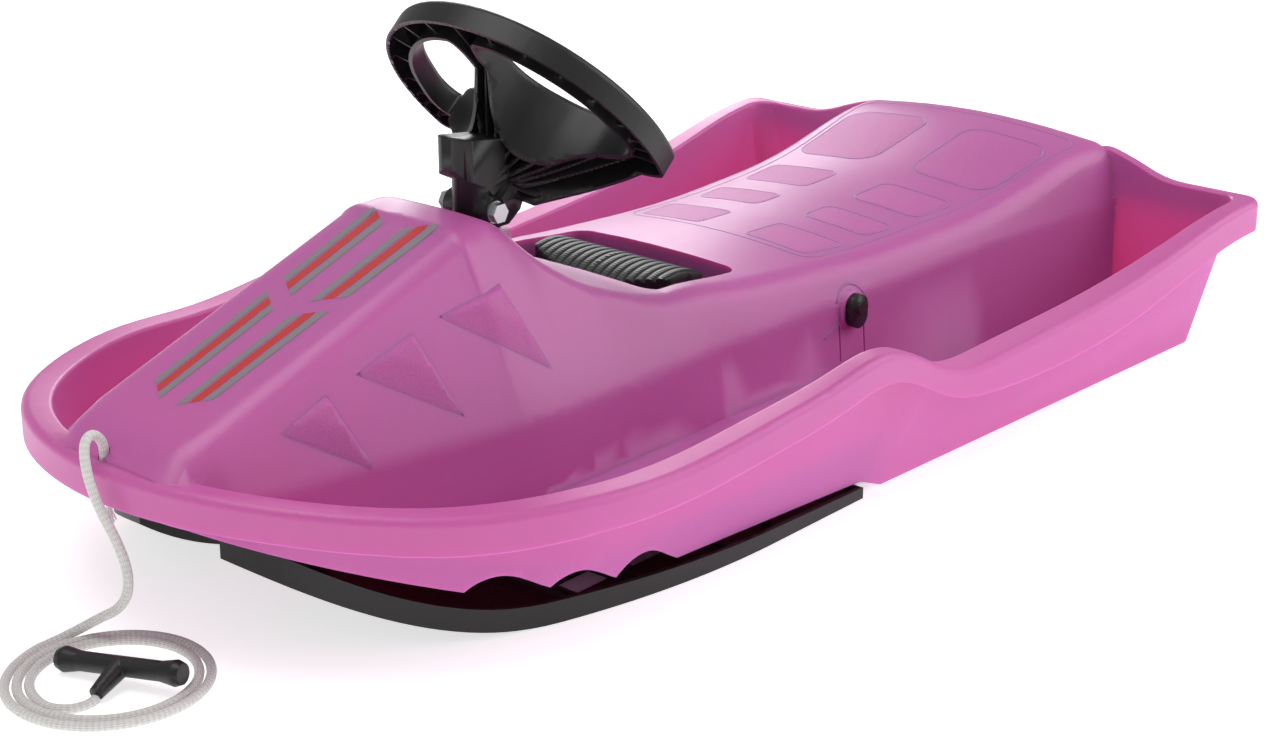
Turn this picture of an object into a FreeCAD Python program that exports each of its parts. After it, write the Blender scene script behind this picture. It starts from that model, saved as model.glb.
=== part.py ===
import FreeCAD, Part
import math
import os

# Steering sled: a one-piece moulded bob with a seat tunnel and a bonnet, a raked steering wheel whose upright
# column turns a broad forked ski, a lift-up brake in the seat and a pull rope.
# Millimetres. +X is forward, +Y is the driver's left, +Z is up. The origin is on the ground, under the middle.

V = FreeCAD.Vector

# Whole sled
SLED_LENGTH = 1005.0
SLED_WIDTH = 554.0
WALL = 3.5
OVERRUN = 20.0
RUN_FIT = 0.05

# Rim: the flange and the skirt that hangs from it
NOSE_RADIUS = 250.5
TAIL_CORNER = 16.0
RIM_HEIGHT = 131.0
SKIRT_DROP = 24.0
RIM_ROUND = 6.0
RIM_INNER_ROUND = 3.0
# Each row: place along half the length, height of the flange, depth of the skirt.
SHEER_SHARES = [
    (1.00, 0.945, 0.98), (0.80, 0.865, 1.05), (0.60, 0.830, 1.00), (0.45, 0.806, 0.95), (0.29, 0.852, 0.95),
    (0.13, 0.928, 0.95), (0.03, 0.972, 0.93), (-0.03, 0.905, 0.93), (-0.10, 0.765, 0.93),
    (-0.165, 0.690, 0.95), (-0.25, 0.690, 1.15), (-0.48, 0.742, 1.40), (-0.62, 0.800, 1.35),
    (-0.76, 0.890, 1.20), (-0.87, 0.965, 1.12), (-1.00, 1.000, 1.10),
]

# The tail flange climbs from the corners to the seat: place across half the width, rise over the sheer.
TAIL_CREST_SHARES = [
    (0.0, 0.085), (0.38, 0.085), (0.43, 0.135), (0.46, 0.150), (0.49, 0.136), (0.545, 0.102), (0.61, 0.050),
    (0.67, 0.013), (0.73, 0.0), (1.10, 0.0),
]
CREST_ROWS = 34
SHEER_ROWS = 48
CREST_REACH = 90.0
CREST_FADE = 120.0

# Tub: drafted walls, a footrest floor over the ski and a deep pan behind it
HEAD_LEVEL = 100.0
TUB_TOP = 170.0
FOOT_INSET = 44.0
HEAD_INSET = 21.5
TAIL_FOOT_INSET = 22.0
TAIL_HEAD_INSET = 12.0
FLOOR_LEVEL = 50.0
FLOOR_RISE = 50.0
FLOOR_BEND_SHARE = 0.55
FLOOR_FRONT_SHARE = 0.94
PAN_THICKNESS = 4.0
# Lower edge of the tub wall in front of the pan: place along half the length, share of the floor level.
WALL_FOOT_SHARES = [(-0.072, 0.0), (-0.014, 0.24), (0.42, 0.40), (0.60, 0.62), (0.73, 0.94), (0.94, 1.70)]
NOTCH_ANGLES = [63.9, 79.1, 95.7]
NOTCH_WIDTH = 30.0
NOTCH_RISE = 14.0
# Outline of a notch: shares of its half width towards the tail, and of its rise above the wall's lower edge.
NOTCH_SHARES = [
    (-1.5, -0.6), (-0.95, 0.0), (-0.5, 0.78), (-0.2, 1.0), (0.15, 1.0), (0.5, 0.72), (1.05, 0.0), (1.7, -0.6),
]

# Ridge: seat tunnel and bonnet in one run of cross-sections
BONNET_HEIGHT = 227.0
SEAT_HALF_WIDTH = 130.0
BELT_LEVEL = 105.0
SHOULDER_ROUND = 23.0
BELT_ROUND = 30.0
RIDGE_SKIN_SHARE = 1.12
DECK_CROWN = 14.0
CROWN_REACH_SHARE = 0.7
# Each row: place along half the length, top height, half widths of top, belt and foot, crown.
RIDGE_SHARES = [
    (0.979, 0.548, 0.400, 0.480, 0.580, 0.10), (0.946, 0.608, 0.424, 0.548, 0.640, 0.10),
    (0.905, 0.645, 0.438, 0.608, 0.692, 0.10), (0.697, 0.806, 0.438, 0.758, 0.846, 0.10),
    (0.498, 0.960, 0.438, 0.900, 0.977, 0.12), (0.450, 0.994, 0.431, 0.923, 0.992, 0.14),
    (0.408, 0.996, 0.420, 0.931, 1.000, 0.16), (0.384, 0.966, 0.428, 0.931, 1.000, 0.18),
    (0.360, 0.915, 0.450, 0.931, 1.000, 0.20), (0.338, 0.863, 0.490, 0.931, 1.000, 0.22),
    (0.312, 0.816, 0.535, 0.931, 1.000, 0.24), (0.267, 0.746, 0.608, 0.934, 1.000, 0.26),
    (0.219, 0.700, 0.684, 0.938, 1.000, 0.28), (0.151, 0.655, 0.756, 0.938, 1.000, 0.30),
    (0.078, 0.632, 0.788, 0.938, 1.000, 0.32), (-0.018, 0.617, 0.806, 0.938, 1.000, 0.40),
    (-0.120, 0.596, 0.822, 0.940, 1.003, 0.60), (-0.227, 0.577, 0.842, 0.946, 1.008, 0.85),
    (-0.360, 0.563, 0.877, 0.968, 1.030, 1.00), (-0.537, 0.567, 0.916, 0.998, 1.059, 1.00),
    (-0.683, 0.594, 0.946, 1.030, 1.091, 1.00), (-0.776, 0.628, 0.962, 1.054, 1.115, 1.00),
    (-0.852, 0.663, 0.972, 1.074, 1.135, 1.00), (-0.915, 0.681, 0.978, 1.090, 1.151, 1.00),
    (-0.955, 0.680, 0.981, 1.102, 1.164, 1.00), (-0.982, 0.668, 0.983, 1.110, 1.172, 0.98),
    (-0.998, 0.632, 0.980, 1.115, 1.177, 0.90),
]
# The bonnet runs straight between its own stations; the cowl behind it and the seat are smooth.
BONNET_STATION_SHARES = [0.979, 0.946, 0.905, 0.478]
COWL_STATION_SHARES = [
    0.478, 0.448, 0.418, 0.388, 0.358, 0.328, 0.298, 0.268, 0.238, 0.208, 0.178, 0.148, 0.119,
]
SEAT_STATION_SHARES = [0.119, 0.0, -0.119, -0.238, -0.357, -0.476, -0.595, -0.714, -0.833, -0.952]
ROLL_STATION_SHARES = [-0.952, -0.964, -0.975, -0.987, -0.998]

# Upright steering column, its seat in the cowl and its bushes
STEER_X = 166.0
COLUMN_DIAMETER = 20.0
COLUMN_WALL = 2.5
COLUMN_FOOT = 6.0
COLUMN_TOP = 240.0
CUP_DIAMETER = 45.0
CUP_LEVEL = 199.0
CUP_DEPTH = 36.0
BUSH_WALL = 3.0
BUSH_FLANGE = 2.0
BUSH_FLANGE_DIAMETER = 40.0
PRESS_GAP = 0.02

# Steering wheel, in its own frame: X up the wheel, Y to the driver's left, Z square to the wheel, to the driver
WHEEL_SLOPE = 43.0
WHEEL_Z = 218.0
WHEEL_RADIUS = 115.5
RING_FRONT = 74.5
WHEEL_BACK = 95.0
WHEEL_WALL = 3.2
WHEEL_SKIN = 4.0
WHEEL_EDGE_ROUND = 6.0
DISH_DROP = 25.0
DISH_NOSE_RADIUS = 30.0
DISH_NOSE = 22.0
DISH_RADIUS = 88.0
RING_END_ANGLE = 105.0
# Lower edge of an arm and the edge of a hand hole: shares of the wheel radius, up the wheel and sideways.
ARM_EDGE_SHARES = [
    (-0.312, 0.937), (-0.338, 0.86), (-0.330, 0.66), (-0.268, 0.47), (-0.190, 0.27), (-0.156, 0.12),
]
HOLE_EDGE_SHARES = [
    (0.79, 0.13), (0.755, 0.30), (0.65, 0.48), (0.50, 0.635), (0.32, 0.745), (0.10, 0.805), (-0.07, 0.805),
    (-0.125, 0.765), (-0.075, 0.69), (0.0, 0.60), (0.052, 0.41), (0.12, 0.29), (0.235, 0.155), (0.36, 0.09),
    (0.50, 0.07), (0.70, 0.07),
]
# Side view of the hub's web: shares of the bonnet height, ahead of the column and above the ground.
HUB_SHARES = [
    (0.0, 0.897), (-0.088, 0.897), (-0.141, 0.934), (-0.167, 0.991), (-0.115, 1.170), (0.110, 1.200),
    (0.123, 1.120), (0.090, 1.075), (0.0, 1.030),
]
HUB_REACH_SHARE = 0.110
HUB_SLEEVE = 30.0
HUB_BOSS = 22.0
HUB_WEB_HALF_WIDTH = 15.0
HUB_WEB_ROUND = 11.0
HUB_HALF_WIDTH = 20.0
RIB_THICKNESS = 2.4
RIB_SETBACK = 4.0
RIB_ANGLES = [-96, -80, -64, -48, -32, -16, 0, 16, 32, 48, 64, 80, 96]
BRACE_ANGLES = [118, 104, 90]
BOLT_DIAMETER = 8.0
BOLT_FIT = 0.1
BOLT_HEAD = 13.0
BOLT_HEAD_HEIGHT = 5.5
NUT_HEIGHT = 6.5
NUT_TAIL = 2.5
WASHER_DIAMETER = 16.0
WASHER_THICKNESS = 1.6
HUB_WASHER_DIAMETER = 38.0
HUB_WASHER_THICKNESS = 2.0

# Cross member under the footrest floor that carries the foot of the column
MEMBER_THICKNESS = 6.0
MEMBER_HALF_LENGTH = 27.0
MEMBER_HALF_SPAN = 178.0
MEMBER_CORNER = 10.0
TOWER_DIAMETER = 42.0
TOWER_FOOT = 29.0
TOWER_TOP = 60.0
MEMBER_SCREW_INSET = 14.0
MEMBER_SCREW_REACH = 14.0
SCREW_DIAMETER = 6.0
SCREW_HEAD = 12.0
SCREW_HEAD_HEIGHT = 3.5
SCREW_TIP = 3.0

# Ski
SKI_HALF_WIDTH = 222.0
SKI_FRONT_RADIUS = 195.0
SKI_TAIL_X = -7.0
SKI_SIDE_SHARES = [(0.20, 1.0), (0.434, 0.950), (0.635, 0.824)]
SKI_DECK = 4.5
SKI_WALL = 4.0
SKI_WALL_FRONT = 16.0
SKI_WALL_TAIL = 8.0
SKI_SWEEP_GAP = 4.0
ROCKER_RADIUS = 250.0
ROCKER_START = 288.0
ROCKER_END_ANGLE = 45.0
FORK_HALF_GAP = 41.0
FORK_ROOT_X = 330.0
TAIL_GAP_HALF_WIDTH = 110.0
TAIL_GAP_ROOT_X = 92.0
TAIL_GAP_ROUND = 34.0
SKI_HUB_HALF_WIDTH = 20.0
SKI_HUB_TOP = 24.5
SKI_BOLT_Z = 14.5
SKI_RIB_THICKNESS = 3.0
SKI_RIB_HEIGHT = 7.0
SKI_RIB_X_SHARES = [0.17, 0.27, 0.43, 0.53]
SKI_SLOT_LENGTH = 46.0
SKI_SLOT_WIDTH = 24.0
SKI_SLOT_X_SHARES = [0.10, 0.22, 0.35, 0.48]
SKI_SLOT_Y = 166.0

# Brake
RECESS_REAR_X = -35.0
RECESS_LENGTH = 103.0
RECESS_HALF_WIDTH = 81.0
RECESS_CORNER = 14.0
RECESS_LIP = 14.0
PIVOT_X = -121.0
PIVOT_Z = 95.0
PIVOT_DIAMETER = 12.0
PIVOT_REACH = 32.0
CAP_HALF_LENGTH = 3.5
CAP_RADIUS = 10.0
CAP_HEIGHT = 7.0
CAP_LOBE_RADIUS = 6.0
CAP_LOBE = 3.0
RING_BOSS = 2.0
RING_BOSS_WIDTH = 5.0
TONGUE_SLIT = 2.0
TONGUE_HALF_WIDTH = 15.0
TONGUE_FOOT = 56.0
YOKE_ARM = 9.0
YOKE_GAP = 14.0
YOKE_SLEEVE_GAP = 1.0
YOKE_SLEEVE = 17.0
YOKE_BOSS = 28.0
# Side view of a yoke arm: places from the pivot as shares of the grip's reach, forward and up.
YOKE_REACH = 141.0
YOKE_ARM_SHARES = [(-0.60, -0.24), (0.0, 0.085), (1.12, -0.17), (1.12, -0.29), (0.0, -0.095), (-0.60, -0.40)]
YOKE_BAR_LENGTH = 34.0
YOKE_BAR_SHARES = (-0.285, -0.17)
PEDESTAL_HALF_WIDTH = 58.0
PEDESTAL_LENGTH = 28.0
GRIP_X = 20.0
GRIP_LENGTH = 64.0
GRIP_HALF_WIDTH = 68.0
GRIP_END_LENGTH_SHARE = 0.72
GRIP_CORNER = 9.0
GRIP_BASE = 126.0
GRIP_EDGE = 12.0
GRIP_CROWN = 22.0
GRIP_RIBS = 17
GRIP_GROOVE = 2.2
GRIP_GROOVE_DEPTH = 2.0
GRIP_SCREW_DIAMETER = 5.0
GRIP_SCREW_HEAD = 9.0
GRIP_SCREW_LENGTH = 16.0
GRIP_SCREW_HEAD_HEIGHT = 3.0
GRIP_SCREW_Y = 40.0
PEDESTAL_TOP = 8.0
PEDESTAL_WALL = 4.0
TAIL_BAR_HALF_LENGTH = 8.0
CLAW_HALF_WIDTH = 60.0
CLAW_THICKNESS = 3.0
CLAW_TIP = 7.0
CLAW_TEETH = 5
CLAW_TOOTH = 14.0
CLAW_RIVET_DIAMETER = 5.0
CLAW_RIVET_HEAD = 10.0
CLAW_RIVET_HEAD_HEIGHT = 2.5
CLAW_RIVET_Y_SHARES = [-0.6, 0.0, 0.6]
SPRING_WIRE = 2.0
SPRING_TURNS = 4
SPRING_PITCH = 2.6
SPRING_PLAY = 0.3
SPRING_LEG = 30.0

# Pull rope: hole in the nose flange, knot under it, lead, coil on the ground and T-handle
ROPE_DIAMETER = 6.5
ROPE_HOLE = 7.6
ROPE_HOLE_X = 489.0
ROPE_HOLE_Y = -9.0
KNOT_DIAMETER = 13.0
KNOT_SHARES = [(0, -1), (0.6, -0.8), (1, -0.3), (1, 0.3), (0.6, 0.8), (0, 1)]
KNOT_Z = 98.0
KNOT_TAIL = 13.0
LEAD_START_Z = 129.0
LEAD_END_RUN = 10.0
LEAD_BEND_SHARE = 0.45
# Corners of the lead's route over the rim and down to the ground, chosen by hand.
LEAD_CORNERS = [
    V(489.0, -9.0, 137.0), V(495.0, -7.5, 143.5), V(504.0, -4.0, 142.5), V(510.5, 0.0, 134.5),
    V(512.5, 5.5, 120.0), V(511.0, 12.5, 102.0), V(508.5, 23.5, 84.0), V(507.0, 31.0, 65.0),
    V(506.0, 28.0, 47.0), V(505.5, 15.0, 32.0), V(505.0, -5.0, 20.0), V(508.0, -19.0, 10.0),
]
COIL_LEVEL = 3.4
COIL_CENTRE_X = 532.0
COIL_CENTRE_Y = 38.0
COIL_RADIUS = 64.0
COIL_START_ANGLE = -96.0
COIL_HALF_TURNS = 4
COIL_PITCH = 7.6
COIL_LAST_SWEEP = 104.0
COIL_END_RADIUS = 15.0
COIL_END_RUN = 5.0
HANDLE_LENGTH = 92.0
HANDLE_DIAMETER = 13.0
HANDLE_END = 17.0
HANDLE_TIP_SHARE = 0.8
HANDLE_BEVEL_SHARE = 0.1
HANDLE_FLARE = 16.0
HANDLE_BOSS = 14.0
HANDLE_BOSS_TIP = 9.5
HANDLE_BOSS_REACH = 28.0
HANDLE_HEADING = 198.6
HANDLE_PITCH = 12.0
HANDLE_ROLL = 5.0
HANDLE_TIP_GAP = 0.8
HANDLE_TIP_LIFT = 3.2

HALF_LENGTH = SLED_LENGTH / 2
HALF_WIDTH = SLED_WIDTH / 2
NOSE_CENTRE_X = HALF_LENGTH - NOSE_RADIUS
WHEEL_FRAME = FreeCAD.Placement(V(STEER_X, 0, WHEEL_Z), FreeCAD.Rotation(V(0, 1, 0), WHEEL_SLOPE - 90))
SKI_SWEEP = math.hypot(STEER_X - SKI_TAIL_X, SKI_HALF_WIDTH) + SKI_SWEEP_GAP
UNDER_FLOOR = FLOOR_LEVEL - WALL
BUSH_BORE = COLUMN_DIAMETER + 2 * BUSH_WALL


def save(name, shape):
    """One sub-part to its own file; a group of separate solids stays one file."""
    solids = shape.Solids
    if not shape.isValid() or not solids:
        raise ValueError(name + " is not a sound solid")
    result = solids[0] if len(solids) == 1 else Part.makeCompound(solids)
    result.exportStep("parts/" + name + ".step")
    volume = sum(solid.Volume for solid in solids)
    print(f"{name}: {len(solids)} solid(s), {volume / 1000:.1f} cm3, {len(shape.Faces)} faces")


def in_wheel_frame(shape):
    """A piece drawn in the wheel's own frame, set in its place on the sled."""
    placed = shape.copy()
    placed.Placement = WHEEL_FRAME.multiply(placed.Placement)
    return placed


def box(x0, x1, y0, y1, z0, z1):
    return Part.makeBox(x1 - x0, y1 - y0, z1 - z0, V(x0, y0, z0))


def rod(diameter, start, end):
    """Round bar between two points."""
    run = end - start
    return Part.makeCylinder(diameter / 2, run.Length, start, run)


def tube(outer, inner, start, end):
    return rod(outer, start, end).cut(rod(inner, start, end))


def mirrored(shape):
    return shape.mirror(V(0, 0, 0), V(0, 1, 0))


def line(a, b):
    return Part.LineSegment(a, b).toShape()


def arc(a, b, c):
    return Part.Arc(a, b, c).toShape()


def rounded_outline(points, radii):
    """Closed wire through points, each corner turned by an arc of its radius (0 leaves it sharp)."""
    count = len(points)
    corners = []
    for i in range(count):
        p = points[i]
        if radii[i] == 0:
            corners.append((p, None, p))
            continue
        a = (points[i - 1] - p).normalize()
        b = (points[(i + 1) % count] - p).normalize()
        half = a.getAngle(b) / 2
        reach = radii[i] / math.tan(half)
        middle = (a + b).normalize() * (radii[i] / math.sin(half) - radii[i])
        corners.append((p + a * reach, p + middle, p + b * reach))
    edges = []
    for i in range(count):
        first, middle, last = corners[i]
        if middle is not None:
            edges.append(arc(first, middle, last))
        following = corners[(i + 1) % count][0]
        if last.distanceToPoint(following) > Part.Vertex(last).Tolerance:
            edges.append(line(last, following))
    return Part.Wire(Part.__sortEdges__(edges))


def side_slab(points, half_width):
    """Prism across the sled of a closed side-view outline, given as (x, z) pairs."""
    ring = [V(x, -half_width, z) for x, z in points]
    face = Part.Face(Part.makePolygon(ring + ring[:1]))
    return face.extrude(V(0, 2 * half_width, 0))


def smooth_line(points):
    curve = Part.BSplineCurve()
    curve.interpolate(points)
    return curve.toShape()


def under_curve(points):
    """Everything under a smooth side-view line that runs from beyond the tail to beyond the nose."""
    y = -HALF_WIDTH - OVERRUN
    upper = [V(x, y, z) for x, z in points]
    first, last = upper[0], upper[-1]
    deep = -OVERRUN
    corners = [last, V(last.x, y, deep), V(first.x, y, deep), first]
    edges = [smooth_line(upper)]
    for a, b in zip(corners[:-1], corners[1:]):
        edges.append(line(a, b))
    return Part.Face(Part.Wire(edges)).extrude(V(0, 2 * (HALF_WIDTH + OVERRUN), 0))


def plan_wire(side_inset, tail_inset, corner, z):
    """The sled's plan: a round nose, sides that spread a little towards the tail, a square tail."""
    radius = NOSE_RADIUS - side_inset
    reach = NOSE_CENTRE_X + HALF_LENGTH
    spread = math.acos(NOSE_RADIUS / math.hypot(HALF_WIDTH, reach)) - math.atan2(reach, HALF_WIDTH)
    tangent = V(NOSE_CENTRE_X + radius * math.sin(spread), radius * math.cos(spread), z)
    tail_x = tail_inset - HALF_LENGTH
    tail_y = (radius + (NOSE_CENTRE_X - tail_x) * math.sin(spread)) / math.cos(spread)
    left_tail = V(tail_x, tail_y, z)
    a = (tangent - left_tail).normalize()
    b = V(0, -1, 0)
    half = a.getAngle(b) / 2
    along = corner / math.tan(half)
    bow = (a + b).normalize() * (corner / math.sin(half) - corner)
    left = [tangent, left_tail + a * along, left_tail + bow, left_tail + b * along]
    right = [V(p.x, -p.y, p.z) for p in left]
    edges = [
        arc(right[0], V(NOSE_CENTRE_X + radius, 0, z), left[0]),
        line(left[0], left[1]),
        arc(left[1], left[2], left[3]),
        line(left[3], right[3]),
        arc(right[3], right[2], right[1]),
        line(right[1], right[0]),
    ]
    return Part.Wire(edges)


def plan_prism(side_inset, tail_inset, corner):
    base = Part.Face(plan_wire(side_inset, tail_inset, corner, -OVERRUN))
    return base.extrude(V(0, 0, TUB_TOP + 2 * OVERRUN))


def wall_inset(z):
    return FOOT_INSET + (HEAD_INSET - FOOT_INSET) * z / HEAD_LEVEL


def tail_inset(z):
    return TAIL_FOOT_INSET + (TAIL_HEAD_INSET - TAIL_FOOT_INSET) * z / HEAD_LEVEL


def tub_block(extra, bottom, top):
    """Drafted block inside the tub's outer wall, pulled in by extra."""
    wires = []
    for z in (bottom, top):
        wires.append(plan_wire(wall_inset(z) + extra, tail_inset(z) + extra, TAIL_CORNER, z))
    return Part.makeLoft(wires, True, True)


def sheer_line(drop_share):
    """Side-view points of the flange, lowered by a share of the skirt's depth."""
    skirt = drop_share * SKIRT_DROP
    rows = [(x * HALF_LENGTH, z * RIM_HEIGHT - drop * skirt) for x, z, drop in SHEER_SHARES]
    rows.reverse()
    tail = (rows[0][0] - OVERRUN, rows[0][1])
    nose = (rows[-1][0] + OVERRUN, rows[-1][1])
    return [tail] + rows + [nose]


def table_value(rows, place):
    """Value at a place in a table of (place, value) rows, by a smooth curve that does not overshoot."""
    place = min(max(place, rows[0][0]), rows[-1][0])
    k = max(i for i in range(len(rows) - 1) if rows[i][0] <= place)
    slopes = [(b[1] - a[1]) / (b[0] - a[0]) for a, b in zip(rows[:-1], rows[1:])]
    bends = [slopes[0]]
    for before, after in zip(slopes[:-1], slopes[1:]):
        bends.append(2 * before * after / (before + after) if before * after > 0 else 0.0)
    bends.append(slopes[-1])
    (x0, start), (x1, end) = rows[k], rows[k + 1]
    step = x1 - x0
    t = (place - x0) / step
    return ((1 + 2 * t) * (1 - t) ** 2 * start + t * (1 - t) ** 2 * step * bends[k]
            + t * t * (3 - 2 * t) * end + t * t * (t - 1) * step * bends[k + 1])


def sheer_face(lower):
    """The flange's top as one smooth face over the whole plan, lowered evenly."""
    side = smooth_line([V(x, 0, z) for x, z in sheer_line(0)])
    reach = HALF_LENGTH + OVERRUN / 2
    wide = HALF_WIDTH + OVERRUN
    heights = []
    for i in range(SHEER_ROWS + 1):
        x = 2 * reach * i / SHEER_ROWS - reach
        cut = Part.makeLine(V(x, 0, -TUB_TOP), V(x, 0, 2 * TUB_TOP))
        heights.append((x, side.distToShape(cut)[1][0][0].z - lower))
    grid = []
    for x, z in heights:
        fade = min(max((x + HALF_LENGTH - CREST_REACH) / CREST_FADE, 0), 1)
        share = 1 - fade * fade * (3 - 2 * fade)
        row = []
        for k in range(CREST_ROWS + 1):
            y = 2 * wide * k / CREST_ROWS - wide
            rise = table_value(TAIL_CREST_SHARES, abs(y) / HALF_WIDTH) * RIM_HEIGHT
            row.append(V(x, y, z + share * rise))
        grid.append(row)
    surface = Part.BSplineSurface()
    surface.interpolate(grid)
    return surface.toShape()


def under_face(face):
    return face.extrude(V(0, 0, -2 * TUB_TOP))


def floor_line(lift):
    bend = FLOOR_BEND_SHARE * HALF_LENGTH
    front = FLOOR_FRONT_SHARE * HALF_LENGTH
    return [(-HALF_LENGTH - OVERRUN, FLOOR_LEVEL + lift), (bend, FLOOR_LEVEL + lift),
            (front, FLOOR_LEVEL + FLOOR_RISE + lift),
            (HALF_LENGTH + OVERRUN, FLOOR_LEVEL + FLOOR_RISE + lift)]


def under_floor(lift):
    points = floor_line(lift)
    points.append((points[-1][0], -OVERRUN))
    points.append((points[0][0], -OVERRUN))
    return side_slab(points, HALF_WIDTH + OVERRUN)


def wall_foot_cut():
    """What lies below the front wall's lower edge."""
    points = [(x * HALF_LENGTH, z * FLOOR_LEVEL) for x, z in WALL_FOOT_SHARES]
    points.append((HALF_LENGTH + OVERRUN, points[-1][1]))
    points.append((HALF_LENGTH + OVERRUN, -OVERRUN))
    points.append((points[0][0], -OVERRUN))
    return side_slab(points, HALF_WIDTH + OVERRUN)


def notch(angle):
    """Rounded notch through the front wall's lower edge, seen from the nose centre at an angle."""
    radius = NOSE_RADIUS - FOOT_INSET
    direction = V(math.cos(math.radians(angle)), math.sin(math.radians(angle)), 0)
    across = V(-direction.y, direction.x, 0)
    x_share = (NOSE_CENTRE_X + radius * direction.x) / HALF_LENGTH
    low = 0.0
    for (x0, z0), (x1, z1) in zip(WALL_FOOT_SHARES[:-1], WALL_FOOT_SHARES[1:]):
        if x0 <= x_share <= x1:
            low = FLOOR_LEVEL * (z0 + (z1 - z0) * (x_share - x0) / (x1 - x0))
    centre = V(NOSE_CENTRE_X, 0, low) + direction * (radius - FOOT_INSET)
    aft = across if angle > 0 else -across
    points = [centre + aft * (a * NOTCH_WIDTH) + V(0, 0, up * NOTCH_RISE) for a, up in NOTCH_SHARES]
    face = Part.Face(Part.Wire([smooth_line(points), line(points[-1], points[0])]))
    return face.extrude(direction * (2 * FOOT_INSET))


def ridge_row(share):
    """Cross-section sizes at a place along the ridge."""
    rows = sorted(RIDGE_SHARES)
    share = min(max(share, rows[0][0]), rows[-1][0])
    columns = range(1, len(rows[0]))
    return [share] + [table_value([(row[0], row[column]) for row in rows], share) for column in columns]


def ridge_section(share, skin):
    """Rounded cross-section of the tunnel or the bonnet, pulled in by a skin thickness."""
    x, top, top_width, belt_width, foot_width, crown = ridge_row(share)
    x = x * HALF_LENGTH
    pull = skin * RIDGE_SKIN_SHARE
    y_top = top_width * SEAT_HALF_WIDTH - pull
    y_belt = belt_width * SEAT_HALF_WIDTH - pull
    y_foot = foot_width * SEAT_HALF_WIDTH - pull
    z_top = top * BONNET_HEIGHT - skin
    low = -OVERRUN if skin else 0
    left = [V(x, y_foot, low), V(x, y_belt, BELT_LEVEL), V(x, y_top, z_top)]
    right = [V(p.x, -p.y, p.z) for p in reversed(left)]
    rise = crown * DECK_CROWN
    middle = [V(x, 0, z_top + rise)]
    shoulder = SHOULDER_ROUND - skin
    crown_round = CROWN_REACH_SHARE * y_top * y_top / rise
    radii = [0, BELT_ROUND, shoulder, crown_round, shoulder, BELT_ROUND, 0]
    return rounded_outline(left + middle + right, radii)


def ridge_block(skin):
    """Bonnet, cowl and seat tunnel as one block."""
    bonnet = Part.makeLoft([ridge_section(share, skin) for share in BONNET_STATION_SHARES], True, True)
    cowl = Part.makeLoft([ridge_section(share, skin) for share in COWL_STATION_SHARES], True, False)
    seat = Part.makeLoft([ridge_section(share, skin) for share in SEAT_STATION_SHARES], True, False)
    roll = Part.makeLoft([ridge_section(share, skin) for share in ROLL_STATION_SHARES], True, False)
    return bonnet.fuse([cowl, seat, roll])


def ridge_top(x):
    return ridge_row(x / HALF_LENGTH)[1] * BONNET_HEIGHT


def rounded_slab(x0, x1, y0, y1, z0, z1, corner):
    """Flat plate with round upright corners."""
    points = [V(x0, y0, z0), V(x1, y0, z0), V(x1, y1, z0), V(x0, y1, z0)]
    return Part.Face(rounded_outline(points, [corner] * len(points))).extrude(V(0, 0, z1 - z0))


def recess(grow, z0, z1):
    """Block the size of the opening in front of the driver, for the brake grip."""
    x0 = RECESS_REAR_X - grow
    x1 = RECESS_REAR_X + RECESS_LENGTH + grow
    y = RECESS_HALF_WIDTH + grow
    return rounded_slab(x0, x1, -y, y, z0, z1, RECESS_CORNER + grow)


def tunnel_half_width(x, z):
    """Half width of the tunnel's outer face below the belt."""
    row = ridge_row(x / HALF_LENGTH)
    return SEAT_HALF_WIDTH * (row[4] + (row[3] - row[4]) * z / BELT_LEVEL)


PIVOT_WALL_Y = tunnel_half_width(PIVOT_X, PIVOT_Z)
PIVOT_INNER_Y = PIVOT_WALL_Y - 2 * WALL
ARM_OUTER_Y = PIVOT_INNER_Y - YOKE_GAP
ARM_INNER_Y = ARM_OUTER_Y - YOKE_ARM
SCREW_REACH = MEMBER_HALF_LENGTH - MEMBER_SCREW_REACH
SCREW_SPAN = MEMBER_HALF_SPAN - MEMBER_SCREW_INSET
SCREW_PLACES = [(STEER_X + sx * SCREW_REACH, sy * SCREW_SPAN) for sx in (-1, 1) for sy in (-1, 1)]


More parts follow.
